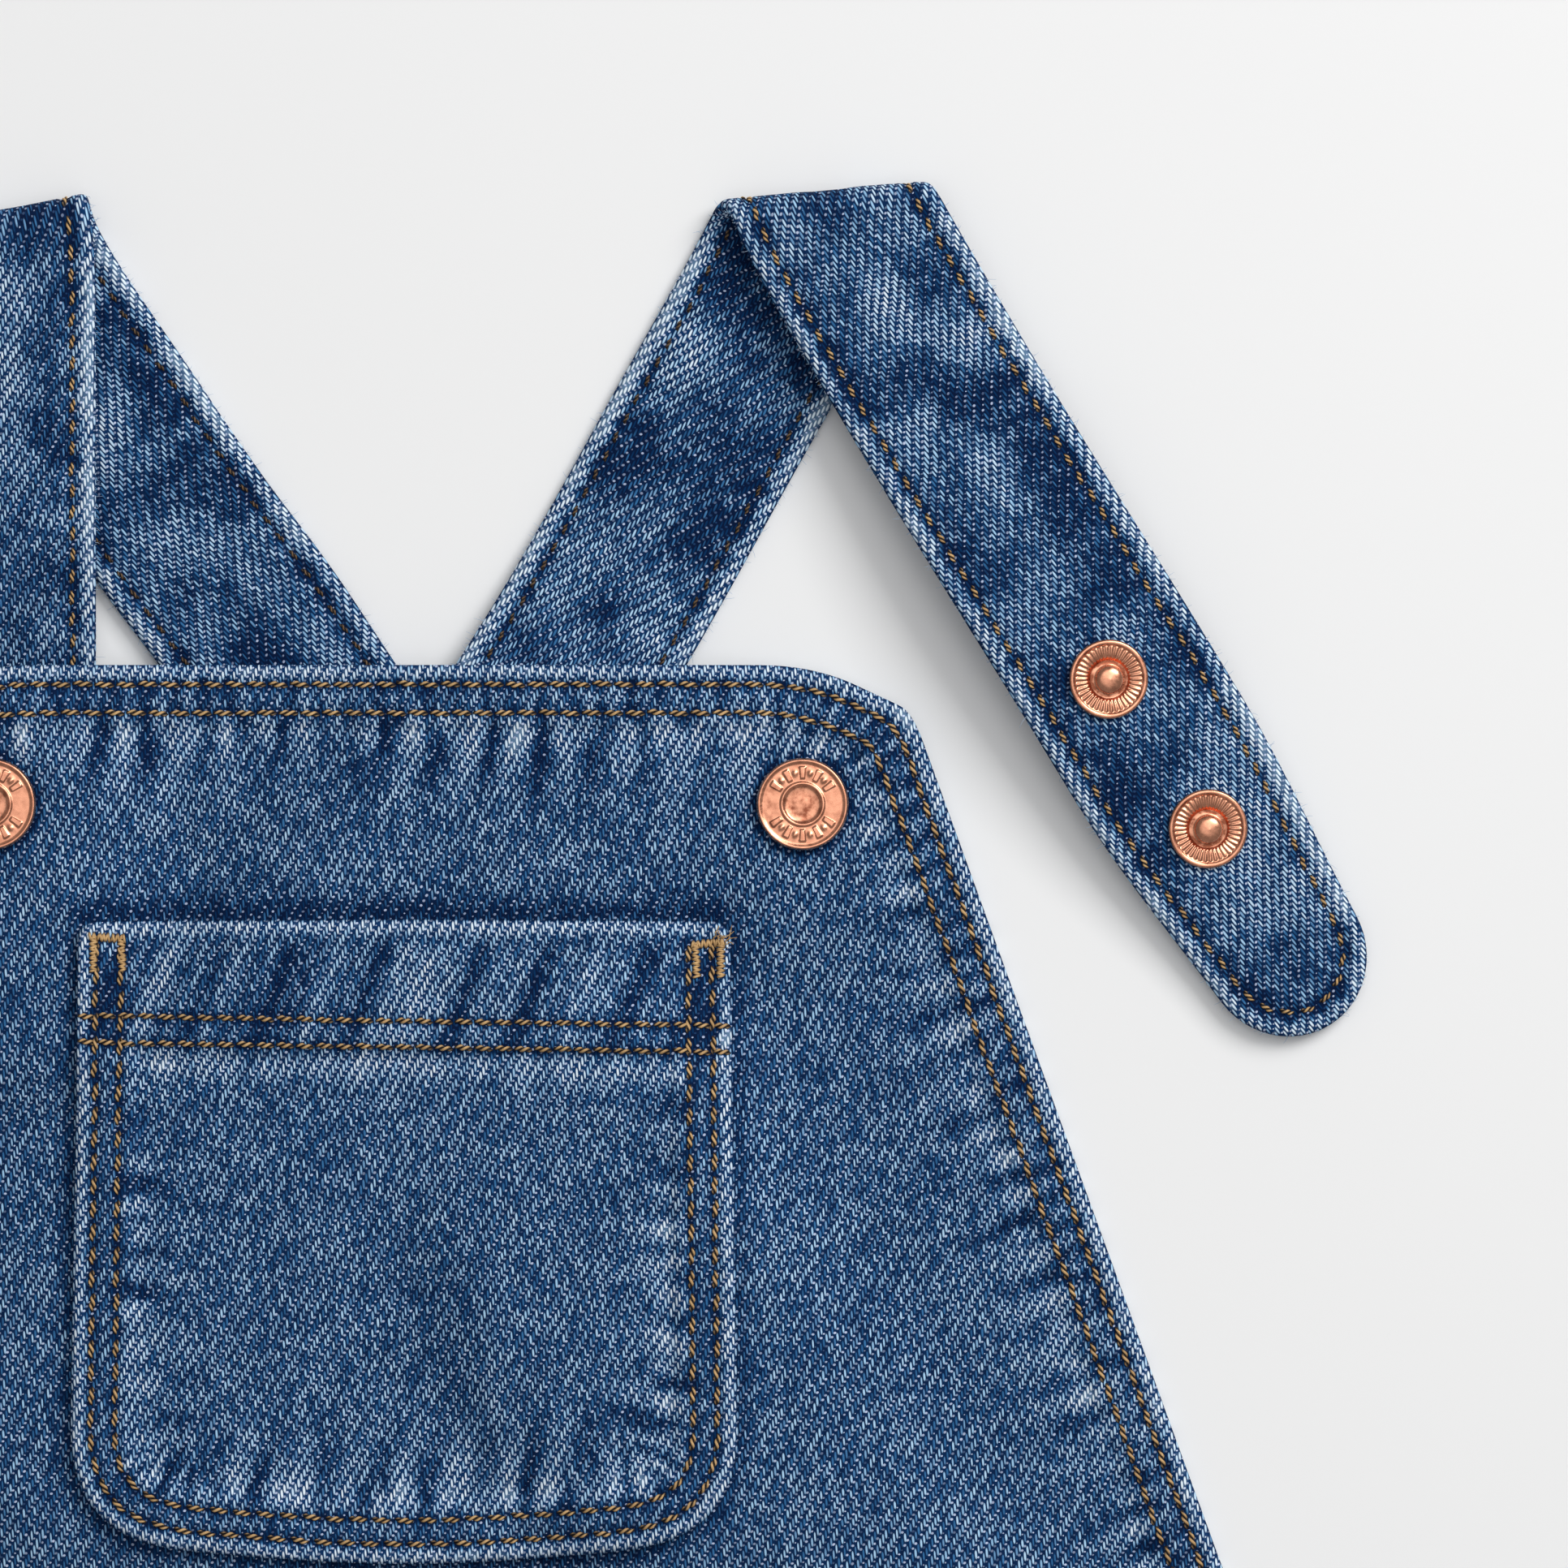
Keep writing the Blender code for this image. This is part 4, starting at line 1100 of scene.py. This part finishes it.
def make_snaps(left, right, look):
    stacks = (("left", -1, snap_stack(on_strap=True)), ("right", 1, snap_stack(on_strap=False)))
    for side, sign, stack in stacks:
        place = (sign * SNAP_X, SNAP_Y)
        cap = lathe(f"cap_{side}", cap_profile(), 240, (*place, stack["cap"]), look, ripple_at=cap_relief)
        socket = lathe(f"socket_{side}", socket_profile(), 48, (*place, stack["socket"]), look)
        add_values(cap, "patina_and_shade", cap_patina_and_shade(cap, place))
        stand_for(f"bib_cap_{side}")
        stand_for(f"bib_socket_{side}")
    # strap, stud, distance from the strap's end, distance right of its middle
    studs = [
        ("left", left, "upper", LAST_STUD_TO_END + STUD_PITCH, 0.0),
        ("left", left, "lower", LAST_STUD_TO_END, 0.0),
        ("right", right, "upper", LAST_STUD_TO_END + STUD_PITCH, -1.0),
        ("right", right, "lower", LAST_STUD_TO_END, 0.0),
    ]
    for side, strap, which, from_end, aside in studs:
        middle, up = frame_on(strap, strap.length - from_end, aside)
        on_top = middle + up * (STRAP_THICK / 2 + SEAM_GAP)
        beneath = middle - up * (STRAP_THICK / 2 + SEAM_GAP + POST_THICK)
        stud = lathe(f"snap_stud_{side}_{which}", stud_profile(), 228, on_top, look, up, stud_relief)
        post = lathe(f"snap_post_{side}_{which}", post_profile(), 48, beneath, look, up)
        add_values(stud, "patina_and_shade", stud_patina(stud, on_top))
        stand_for(f"stud_{side}_{which}")
        stand_for(f"post_{side}_{which}")


class Wires:
    """Short names for making and joining shader nodes."""

    def __init__(self, name):
        self.made = bpy.data.materials.new(name)
        self.made.use_nodes = True
        self.tree = self.made.node_tree
        self.shader = self.tree.nodes["Principled BSDF"]

    def node(self, kind, **values):
        made = self.tree.nodes.new(kind)
        for name, value in values.items():
            setattr(made, name, value)
        return made

    def join(self, value, socket):
        if isinstance(value, bpy.types.NodeSocket):
            self.tree.links.new(value, socket)
        else:
            socket.default_value = value

    def math(self, operation, *values, clamp=False):
        made = self.node("ShaderNodeMath", operation=operation, use_clamp=clamp)
        for value, socket in zip(values, made.inputs):
            self.join(value, socket)
        return made.outputs[0]

    def plus(self, one, two):
        return self.math("ADD", one, two)

    def minus(self, one, two):
        return self.math("SUBTRACT", one, two)

    def times(self, one, two):
        return self.math("MULTIPLY", one, two)

    def power(self, one, two):
        return self.math("POWER", one, two)

    def over(self, one, two):
        return self.math("DIVIDE", one, two)

    def span(self, value, low, high, to_low=0.0, to_high=1.0, soft=True):
        """value, from low to high, as to_low to to_high."""
        made = self.node("ShaderNodeMapRange", interpolation_type="SMOOTHSTEP" if soft else "LINEAR")
        for given, socket in zip((value, low, high, to_low, to_high), made.inputs):
            self.join(given, socket)
        return made.outputs[0]

    def vector(self, x, y, z=0.0):
        made = self.node("ShaderNodeCombineXYZ")
        for value, socket in zip((x, y, z), made.inputs):
            self.join(value, socket)
        return made.outputs[0]

    def dot(self, place, direction):
        made = self.node("ShaderNodeVectorMath", operation="DOT_PRODUCT")
        self.join(place, made.inputs[0])
        made.inputs[1].default_value = (*direction, 0.0)
        return made.outputs["Value"]

    def random(self, x, y, z=0.0):
        made = self.node("ShaderNodeTexWhiteNoise", noise_dimensions="3D")
        self.join(self.vector(x, y, z), made.inputs["Vector"])
        return made.outputs["Value"]

    def noise(self, place, scale, detail=2.0):
        made = self.node("ShaderNodeTexNoise", noise_dimensions="3D")
        self.join(place, made.inputs["Vector"])
        made.inputs["Scale"].default_value = scale
        made.inputs["Detail"].default_value = detail
        return made.outputs["Fac"]

    def mix(self, share, one, two):
        made = self.node("ShaderNodeMix", data_type="RGBA")
        self.join(share, made.inputs[0])
        self.join(one, made.inputs[6])
        self.join(two, made.inputs[7])
        return made.outputs[2]

    def ramp(self, value, stops):
        """Colours by value, from (place, colour) rows."""
        made = self.node("ShaderNodeValToRGB")
        elements = made.color_ramp.elements
        for (place, colour), element in zip(stops, elements):
            element.position, element.color = place, colour
        for place, colour in stops[2:]:
            elements.new(place).color = colour
        self.join(value, made.inputs[0])
        return made.outputs[0]

    def attribute(self, name):
        return self.node("ShaderNodeAttribute", attribute_name=name)

    def swing(self, value, luck, size):
        """value, moved down or up by as much as half of size, as luck goes from 0 to 1."""
        return self.plus(value, self.times(self.minus(luck, 0.5), size))

    def finish(self, **values):
        """Sets the shader's own sockets, whose names have spaces for underscores."""
        for name, value in values.items():
            self.join(value, self.shader.inputs[name.replace("_", " ")])
        return self.made


def paint(red, green, blue):
    """A colour from its sRGB values out of 255."""
    def linear(c):
        c /= 255
        return c / 12.92 if c <= 0.04045 else ((c + 0.055) / 1.055) ** 2.4
    return (linear(red), linear(green), linear(blue), 1.0)


# From one warp yarn to the next, and from one weft yarn to the next
WARP_STEP = (0.355, 0.041)
WEFT_STEP = (0.010, 0.543)
TWILL = 4  # yarns in a repeat, three warps over and one weft


def twill_axes():
    """What to multiply a place on the cloth by to count light warp dashes across, and twill lines."""
    (ax, ay), (bx, by) = WARP_STEP, WEFT_STEP
    size = ax * by - bx * ay
    warp = np.array([by, -bx]) / size
    weft = np.array([-ay, ax]) / size
    return (3 * warp + weft) / TWILL, (weft - warp) / TWILL


def denim_look():
    """Right-hand twill of indigo warp over white weft, lightened and darkened by an attribute that holds
    both its wear and painted shade and shadows.
    """
    w = Wires("denim")
    place = w.attribute("weave").outputs["Vector"]
    wear_and_shade = w.attribute("wear_and_shade").outputs["Fac"]
    parts = w.node("ShaderNodeSeparateXYZ")
    w.join(place, parts.inputs[0])
    u, v, layer = parts.outputs
    across, up = twill_axes()
    bend = w.times(w.minus(w.noise(place, 0.12), 0.5), 0.8)
    column = w.plus(w.dot(place, across), bend)
    line = w.plus(w.dot(place, up), bend)

    # a dash is where a warp yarn floats over three wefts
    column_number = w.math("ROUND", column)
    aside = w.minus(column, column_number)
    shift = w.times(w.random(column_number, layer), 0.12)
    shifted = w.plus(line, shift)
    dash_number = w.math("FLOOR", shifted)
    lengthwise = w.minus(w.minus(shifted, dash_number), 0.5)
    dash_luck = w.random(column_number, dash_number, layer)
    upright = w.minus(aside, w.times(lengthwise, 0.42))
    dash_size = w.random(dash_number, column_number, w.plus(layer, 3.0))
    thickness = w.span(dash_size, 0.0, 1.0, 0.28, 0.40)
    thickness = w.plus(thickness, w.times(wear_and_shade, 0.06))
    width = w.power(w.over(upright, thickness), 2.0)
    along = w.math("ABSOLUTE", w.plus(lengthwise, w.over(aside, 3.0)))
    length = w.power(w.over(along, 0.37), 3.0)
    dash = w.span(w.plus(width, length), 1.1, 0.1)

    # a dot is where a weft yarn shows between two floats
    dot_column = w.minus(column, 0.5)
    dot_number = w.math("ROUND", dot_column)
    dot_line = w.math("ROUND", line)
    a = w.minus(dot_column, dot_number)
    b = w.minus(line, dot_line)
    dot_aside = w.over(w.minus(a, b), 0.62)
    dot_up = w.over(w.plus(a, w.times(b, 3.0)), 0.33)
    dot_gap = w.plus(w.power(dot_aside, 2.0), w.power(dot_up, 2.0))
    dot_size = w.random(dot_line, dot_number, w.plus(layer, 5.0))
    dot_size = w.span(dot_size, 0.0, 0.6, 0.25, 1.1, soft=False)
    dot = w.span(w.over(dot_gap, dot_size), 1.0, 0.3)
    dot_luck = w.random(dot_number, dot_line, w.plus(layer, 7.0))

    fine = w.noise(place, 1.3)
    slub = w.noise(w.vector(w.times(u, 2.2), w.times(v, 0.10), layer), 1.0)
    streak = w.noise(w.vector(w.times(line, 0.45), w.times(column, 0.10), layer), 1.0)
    faded = w.swing(w.swing(w.swing(wear_and_shade, fine, 0.1), slub, 0.16), streak, 0.15)
    shade = w.swing(faded, dash_luck, 0.44)
    dash_colour = w.ramp(shade, [
        (0.0, paint(0, 44, 86)),
        (0.95, paint(228, 242, 252)),
        (0.25, paint(54, 110, 160)),
        (0.5, paint(162, 204, 236)),
    ])
    dot_shade = w.plus(w.times(dot_luck, 0.75), w.times(faded, 0.35))
    dot_colour = w.ramp(dot_shade, [(0.1, paint(26, 56, 96)), (0.95, paint(196, 208, 236))])
    # ground yarns lie low, and lighten last
    low_shade = w.plus(w.times(faded, 0.7), w.times(dot_luck, 0.16))
    ground = w.ramp(low_shade, [
        (0.12, paint(0, 20, 54)),
        (0.95, paint(92, 122, 152)),
        (0.66, paint(8, 50, 96)),
    ])
    colour = w.mix(dash, ground, dash_colour)
    colour = w.mix(dot, colour, dot_colour)
    height = w.math("MAXIMUM", dash, w.times(dot, 0.7))
    bump = w.node("ShaderNodeBump")
    bump.inputs["Strength"].default_value = 0.27
    bump.inputs["Distance"].default_value = 0.12 * METRES
    w.join(height, bump.inputs["Height"])
    return w.finish(Base_Color=colour, Normal=bump.outputs[0], Roughness=0.92, Specular_IOR_Level=0.12)


def thread_look(name, light, dark):
    """Sewing thread, with painted shade: darker between its plies, on their undersides and where it goes
    into the cloth.
    """
    w = Wires(name)
    tone = w.attribute("tone").outputs["Fac"]
    shade = w.attribute("shade").outputs["Fac"]
    body = w.mix(w.span(tone, -1.0, 1.0, 0.0, 0.45, soft=False), light, dark)
    colour = w.mix(w.span(shade, 0.1, 0.9), body, paint(34, 26, 24))
    return w.finish(Base_Color=colour, Roughness=0.55, Specular_IOR_Level=0.3)


def fibre_look():
    return Wires("fibre").finish(Base_Color=paint(168, 190, 216), Roughness=0.8)


def copper_look():
    w = Wires("copper")
    place = w.node("ShaderNodeTexCoord").outputs["Object"]
    spots = w.span(w.noise(place, 900.0, 3.0), 0.35, 0.75)
    # this attribute holds patina, and on the caps painted shade on their left as well
    patina_and_shade = w.plus(w.attribute("patina_and_shade").outputs["Fac"], 0.45)
    patina_and_shade = w.math("MULTIPLY", spots, patina_and_shade, clamp=True)
    colour = w.mix(patina_and_shade, paint(234, 164, 132), paint(146, 84, 62))
    roughness = w.span(w.noise(place, 2600.0), 0.3, 0.7, 0.2, 0.34)
    return w.finish(Base_Color=colour, Roughness=roughness, Metallic=1.0)


def shown_rim(points):
    return (points[:, 1] > FINE_BOTTOM) & (points[:, 0] > FINE_LEFT)


def rim_spacing(points):
    return np.where(shown_rim(points), FINE_EDGE, COARSE_EDGE)


def shown(points):
    return shown_rim(points) & (points[:, 0] < FINE_RIGHT)


def hidden(points):
    return ~shown(points)


def everywhere(points):
    return np.ones(len(points), bool)


def area(points):
    x, y = points[:, 0], points[:, 1]
    return abs((x * np.roll(y, -1) - y * np.roll(x, -1)).sum()) / 2 * METRES**2


def make_cloth(front, pocket, back, straps, look):
    grids = [(FINE_STEP, shown), (COARSE_STEP, hidden)]
    front_piece = panel_piece("dress_front", front, rim_spacing, grids, MESH_ROWS_FRONT, look)
    grids = [(POCKET_STEP, everywhere)]
    pocket_piece = panel_piece("dress_pocket", pocket, every(FINE_EDGE), grids, MESH_ROWS_POCKET, look)
    grids = [(COARSE_STEP, everywhere)]
    back_piece = panel_piece("dress_back", back, every(BACK_EDGE), grids, MESH_ROWS_BACK, look, False)
    stand_for("front_panel")
    stand_for("bib_pocket")
    stand_for("back_panel")
    area(front.outline)
    area(back.outline)
    area(pocket.outline)
    for side, cloth in straps.items():
        piece = strap_piece(f"dress_strap_{side}", cloth, look)
        stand_for(f"strap_{side}")
        area(cloth.outline)


def part_between(path, low, high):
    """The part of a path of close points whose y lies between two values, as an open path."""
    keep = (path[:, 1] > low) & (path[:, 1] < high)
    start = int(np.argmax(keep & ~np.roll(keep, 1)))
    turned = np.roll(path, -start, axis=0)
    return turned[np.roll(keep, -start)]


def row_path(outline, row):
    """Where a row of stitches runs, at a distance in from a closed outline, with its turns eased."""
    rim = resampled(outline, every(PATH_STEP))
    path = resampled(moved_in(rim, row, outline), every(PATH_STEP))
    for _ in range(2):
        path = sum(np.roll(path, shift, axis=0) for shift in range(-3, 4)) / 7
    return path


def sew_front(front, look):
    for number, row in enumerate(ROWS_BIB):
        path = row_path(front.outline, row)
        path = part_between(path, UNDERARM[1] + 3.0, 10.0)
        stitches(f"bib_stitches_{number}", path, PITCH_BIB, THREAD, front.face, look, 31 + number)
    for number, row in enumerate(ROWS_HEM):
        hem = front.hem + (0.0, row)
        hem = hem[np.abs(hem[:, 0]) < HEM_SIDE[0] - 3.0]
        name = f"hem_stitches_{number}"
        stitches(name, hem, PITCH_ARMHOLE, THREAD, front.face, look, 33 + number, plain=True)


def sew_pocket(pocket, look):
    for number, row in enumerate(ROWS_POCKET):
        path = row_path(pocket.taller, row)
        path = part_between(path, -200.0, POCKET_TOP_Y - 2.5)
        name = f"pocket_stitches_{number}"
        stitches(name, path, PITCH_ARMHOLE, THREAD, pocket.face, look, 41 + number, cover=0.86)
    for number, row in enumerate(ROWS_POCKET_HEM):
        xs = np.linspace(POCKET_X - POCKET_HALF + 0.8, POCKET_X + POCKET_HALF - 0.8, 120)
        ys = POCKET_TOP_Y - row - POCKET_HEM_DROP * (xs - POCKET_X + POCKET_HALF)
        path = np.column_stack([xs, ys])
        name = f"pocket_hem_stitches_{number}"
        stitches(name, path, PITCH_POCKET_HEM, THREAD, pocket.face, look, 43 + number)


def make_bartacks(pocket, look):
    """A bar over the top of the two rows at each corner of the mouth, and thread down each row."""
    for number, (side, outer, inner, top, low) in enumerate(BARTACKS):
        reach = 0.5 * (1 if inner > outer else -1)
        # piece, its two ends, half its width, seed
        parts = [
            ("bar", (outer - reach, top + 0.1), (inner + reach, top - 0.2), 0.5, 81),
            ("outer", (outer, top), (outer, low), 0.45, 83),
            ("inner", (inner, top), (inner + 0.2, low), 0.45, 85),
        ]
        for part, start, end, half, seed in parts:
            bartack(f"bartack_{side}_{part}", start, end, half, pocket.face, look, seed + number)


def make_fray(straps, pocket, fibre, gold):
    """Loose fibres along the straps' edges, and thread ends at the pocket's top right corner."""
    for number, (side, cloth) in enumerate(straps.items()):
        rng = np.random.default_rng(91 + number)
        rim = resampled(cloth.outline, every(0.25))
        picked = rim[rng.random(len(rim)) < 0.35]
        height = rng.uniform(-0.7, 0.7, len(picked))
        roots = cloth.place(picked * (1.0, 0.985), height)
        outer = cloth.place(picked * (1.0, 1.2), height)
        fray(f"strap_fray_{side}", roots, unit(outer - roots), 0.75, 0.035, fibre, 93 + number)
    rng = np.random.default_rng(97)
    count = FRAYED_THREADS
    flat = np.array(FRAYED_CORNER)[rng.integers(0, 3, count)] + rng.normal(size=(count, 2)) * 0.35
    right, up, out = rng.normal(0.5, 0.6, count), rng.normal(0.6, 0.6, count), rng.uniform(0.1, 0.7, count)
    ways = np.column_stack([right, up, out])
    knot = fray("pocket_fray", pocket.face(flat, np.full(count, 0.1)), ways, 1.0, 0.1, gold, 98)
    add_values(knot, "tone", rng.uniform(-1.0, 1.0, len(knot.data.vertices)))
    add_values(knot, "shade", rng.uniform(0.0, 0.6, len(knot.data.vertices)))


def sew_straps(straps, look, under_look):
    for side, cloth in straps.items():
        path = row_path(cloth.outline, ROW_STRAP)
        start = int(np.argmin(path[:, 0]))
        path = np.roll(path, -start, axis=0)
        path = path[path[:, 0] > ROW_STRAP + 1.0]
        stitches(
            f"strap_stitches_{side}", path, PITCH_STRAP, STRAP_THREAD, cloth.outer_face, look, 51,
            cover=0.76)
        stitches(
            f"strap_under_stitches_{side}", path, PITCH_STRAP, UNDER_THREAD, cloth.inner_face,
            under_look, 52, cover=0.66, plain=True)


def make_floor():
    mesh = bpy.data.meshes.new("floor")
    corners = [(x * FLOOR_HALF, y * FLOOR_HALF, 0.0) for x, y in ((-1, -1), (1, -1), (1, 1), (-1, 1))]
    mesh.from_pydata(corners, [], [(0, 1, 2, 3)])
    look = Wires("floor").finish(Base_Color=paint(240, 240, 240), Roughness=0.9, Specular_IOR_Level=0.1)
    mesh.materials.append(look)
    floor = bpy.data.objects.new("floor", mesh)
    floor.location = (0.0, 0.0, -FLOOR_GAP)
    bpy.context.scene.collection.objects.link(floor)


def make_light(name, place, size, power):
    lamp = bpy.data.lights.new(name, "AREA")
    lamp.energy = power
    lamp.size = size
    made = bpy.data.objects.new(name, lamp)
    made.location = place
    made.rotation_euler = (Vector(LIT_PLACE) - Vector(place)).to_track_quat("-Z", "Y").to_euler()
    bpy.context.scene.collection.objects.link(made)


def make_lights():
    make_light("key", (0.95, 0.95, 1.15), 0.8, 18.2)
    make_light("top", (0.45, 0.75, 2.1), 1.2, 6.0)
    make_light("sky", (0.15, 0.35, 2.4), 2.4, 14.0)
    world = bpy.data.worlds.new("studio")
    world.use_nodes = True
    world.node_tree.nodes["Background"].inputs["Color"].default_value = (1.0, 1.0, 1.0, 1.0)
    world.node_tree.nodes["Background"].inputs["Strength"].default_value = 0.27
    bpy.context.scene.world = world


def make_camera():
    camera = bpy.data.cameras.new("camera")
    camera.sensor_width = SENSOR
    camera.lens = SENSOR * CAMERA_HEIGHT / VIEW_WIDTH
    camera.clip_start = 0.1
    camera.clip_end = 20.0
    made = bpy.data.objects.new("camera", camera)
    x, y = VIEW_MIDDLE
    made.location = (x * METRES, (y + BIB_TOP_Y) * METRES, CAMERA_HEIGHT * METRES)
    bpy.context.scene.collection.objects.link(made)
    bpy.context.scene.camera = made


def main():
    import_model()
    left, right = make_straps()
    back_shape = back_outline()
    front = FrontPanel(Layers(left, right, back_shape))
    pocket = Pocket(front)
    back = BackPanel(front.hem)
    straps = {"left": StrapCloth(left, 61), "right": StrapCloth(right, 75)}
    denim = denim_look()
    gold = thread_look("gold_thread", paint(206, 168, 116), paint(144, 110, 70))
    brown = thread_look("under_thread", paint(112, 88, 62), paint(70, 54, 40))
    make_cloth(front, pocket, back, straps, denim)
    sew_front(front, gold)
    sew_pocket(pocket, gold)
    sew_straps(straps, gold, brown)
    make_bartacks(pocket, gold)
    make_fray(straps, pocket, fibre_look(), gold)
    make_snaps(left, right, copper_look())
    make_floor()
    make_lights()
    make_camera()
    scene = bpy.context.scene
    scene.view_settings.view_transform = "Standard"
    scene.view_settings.look = "None"


main()
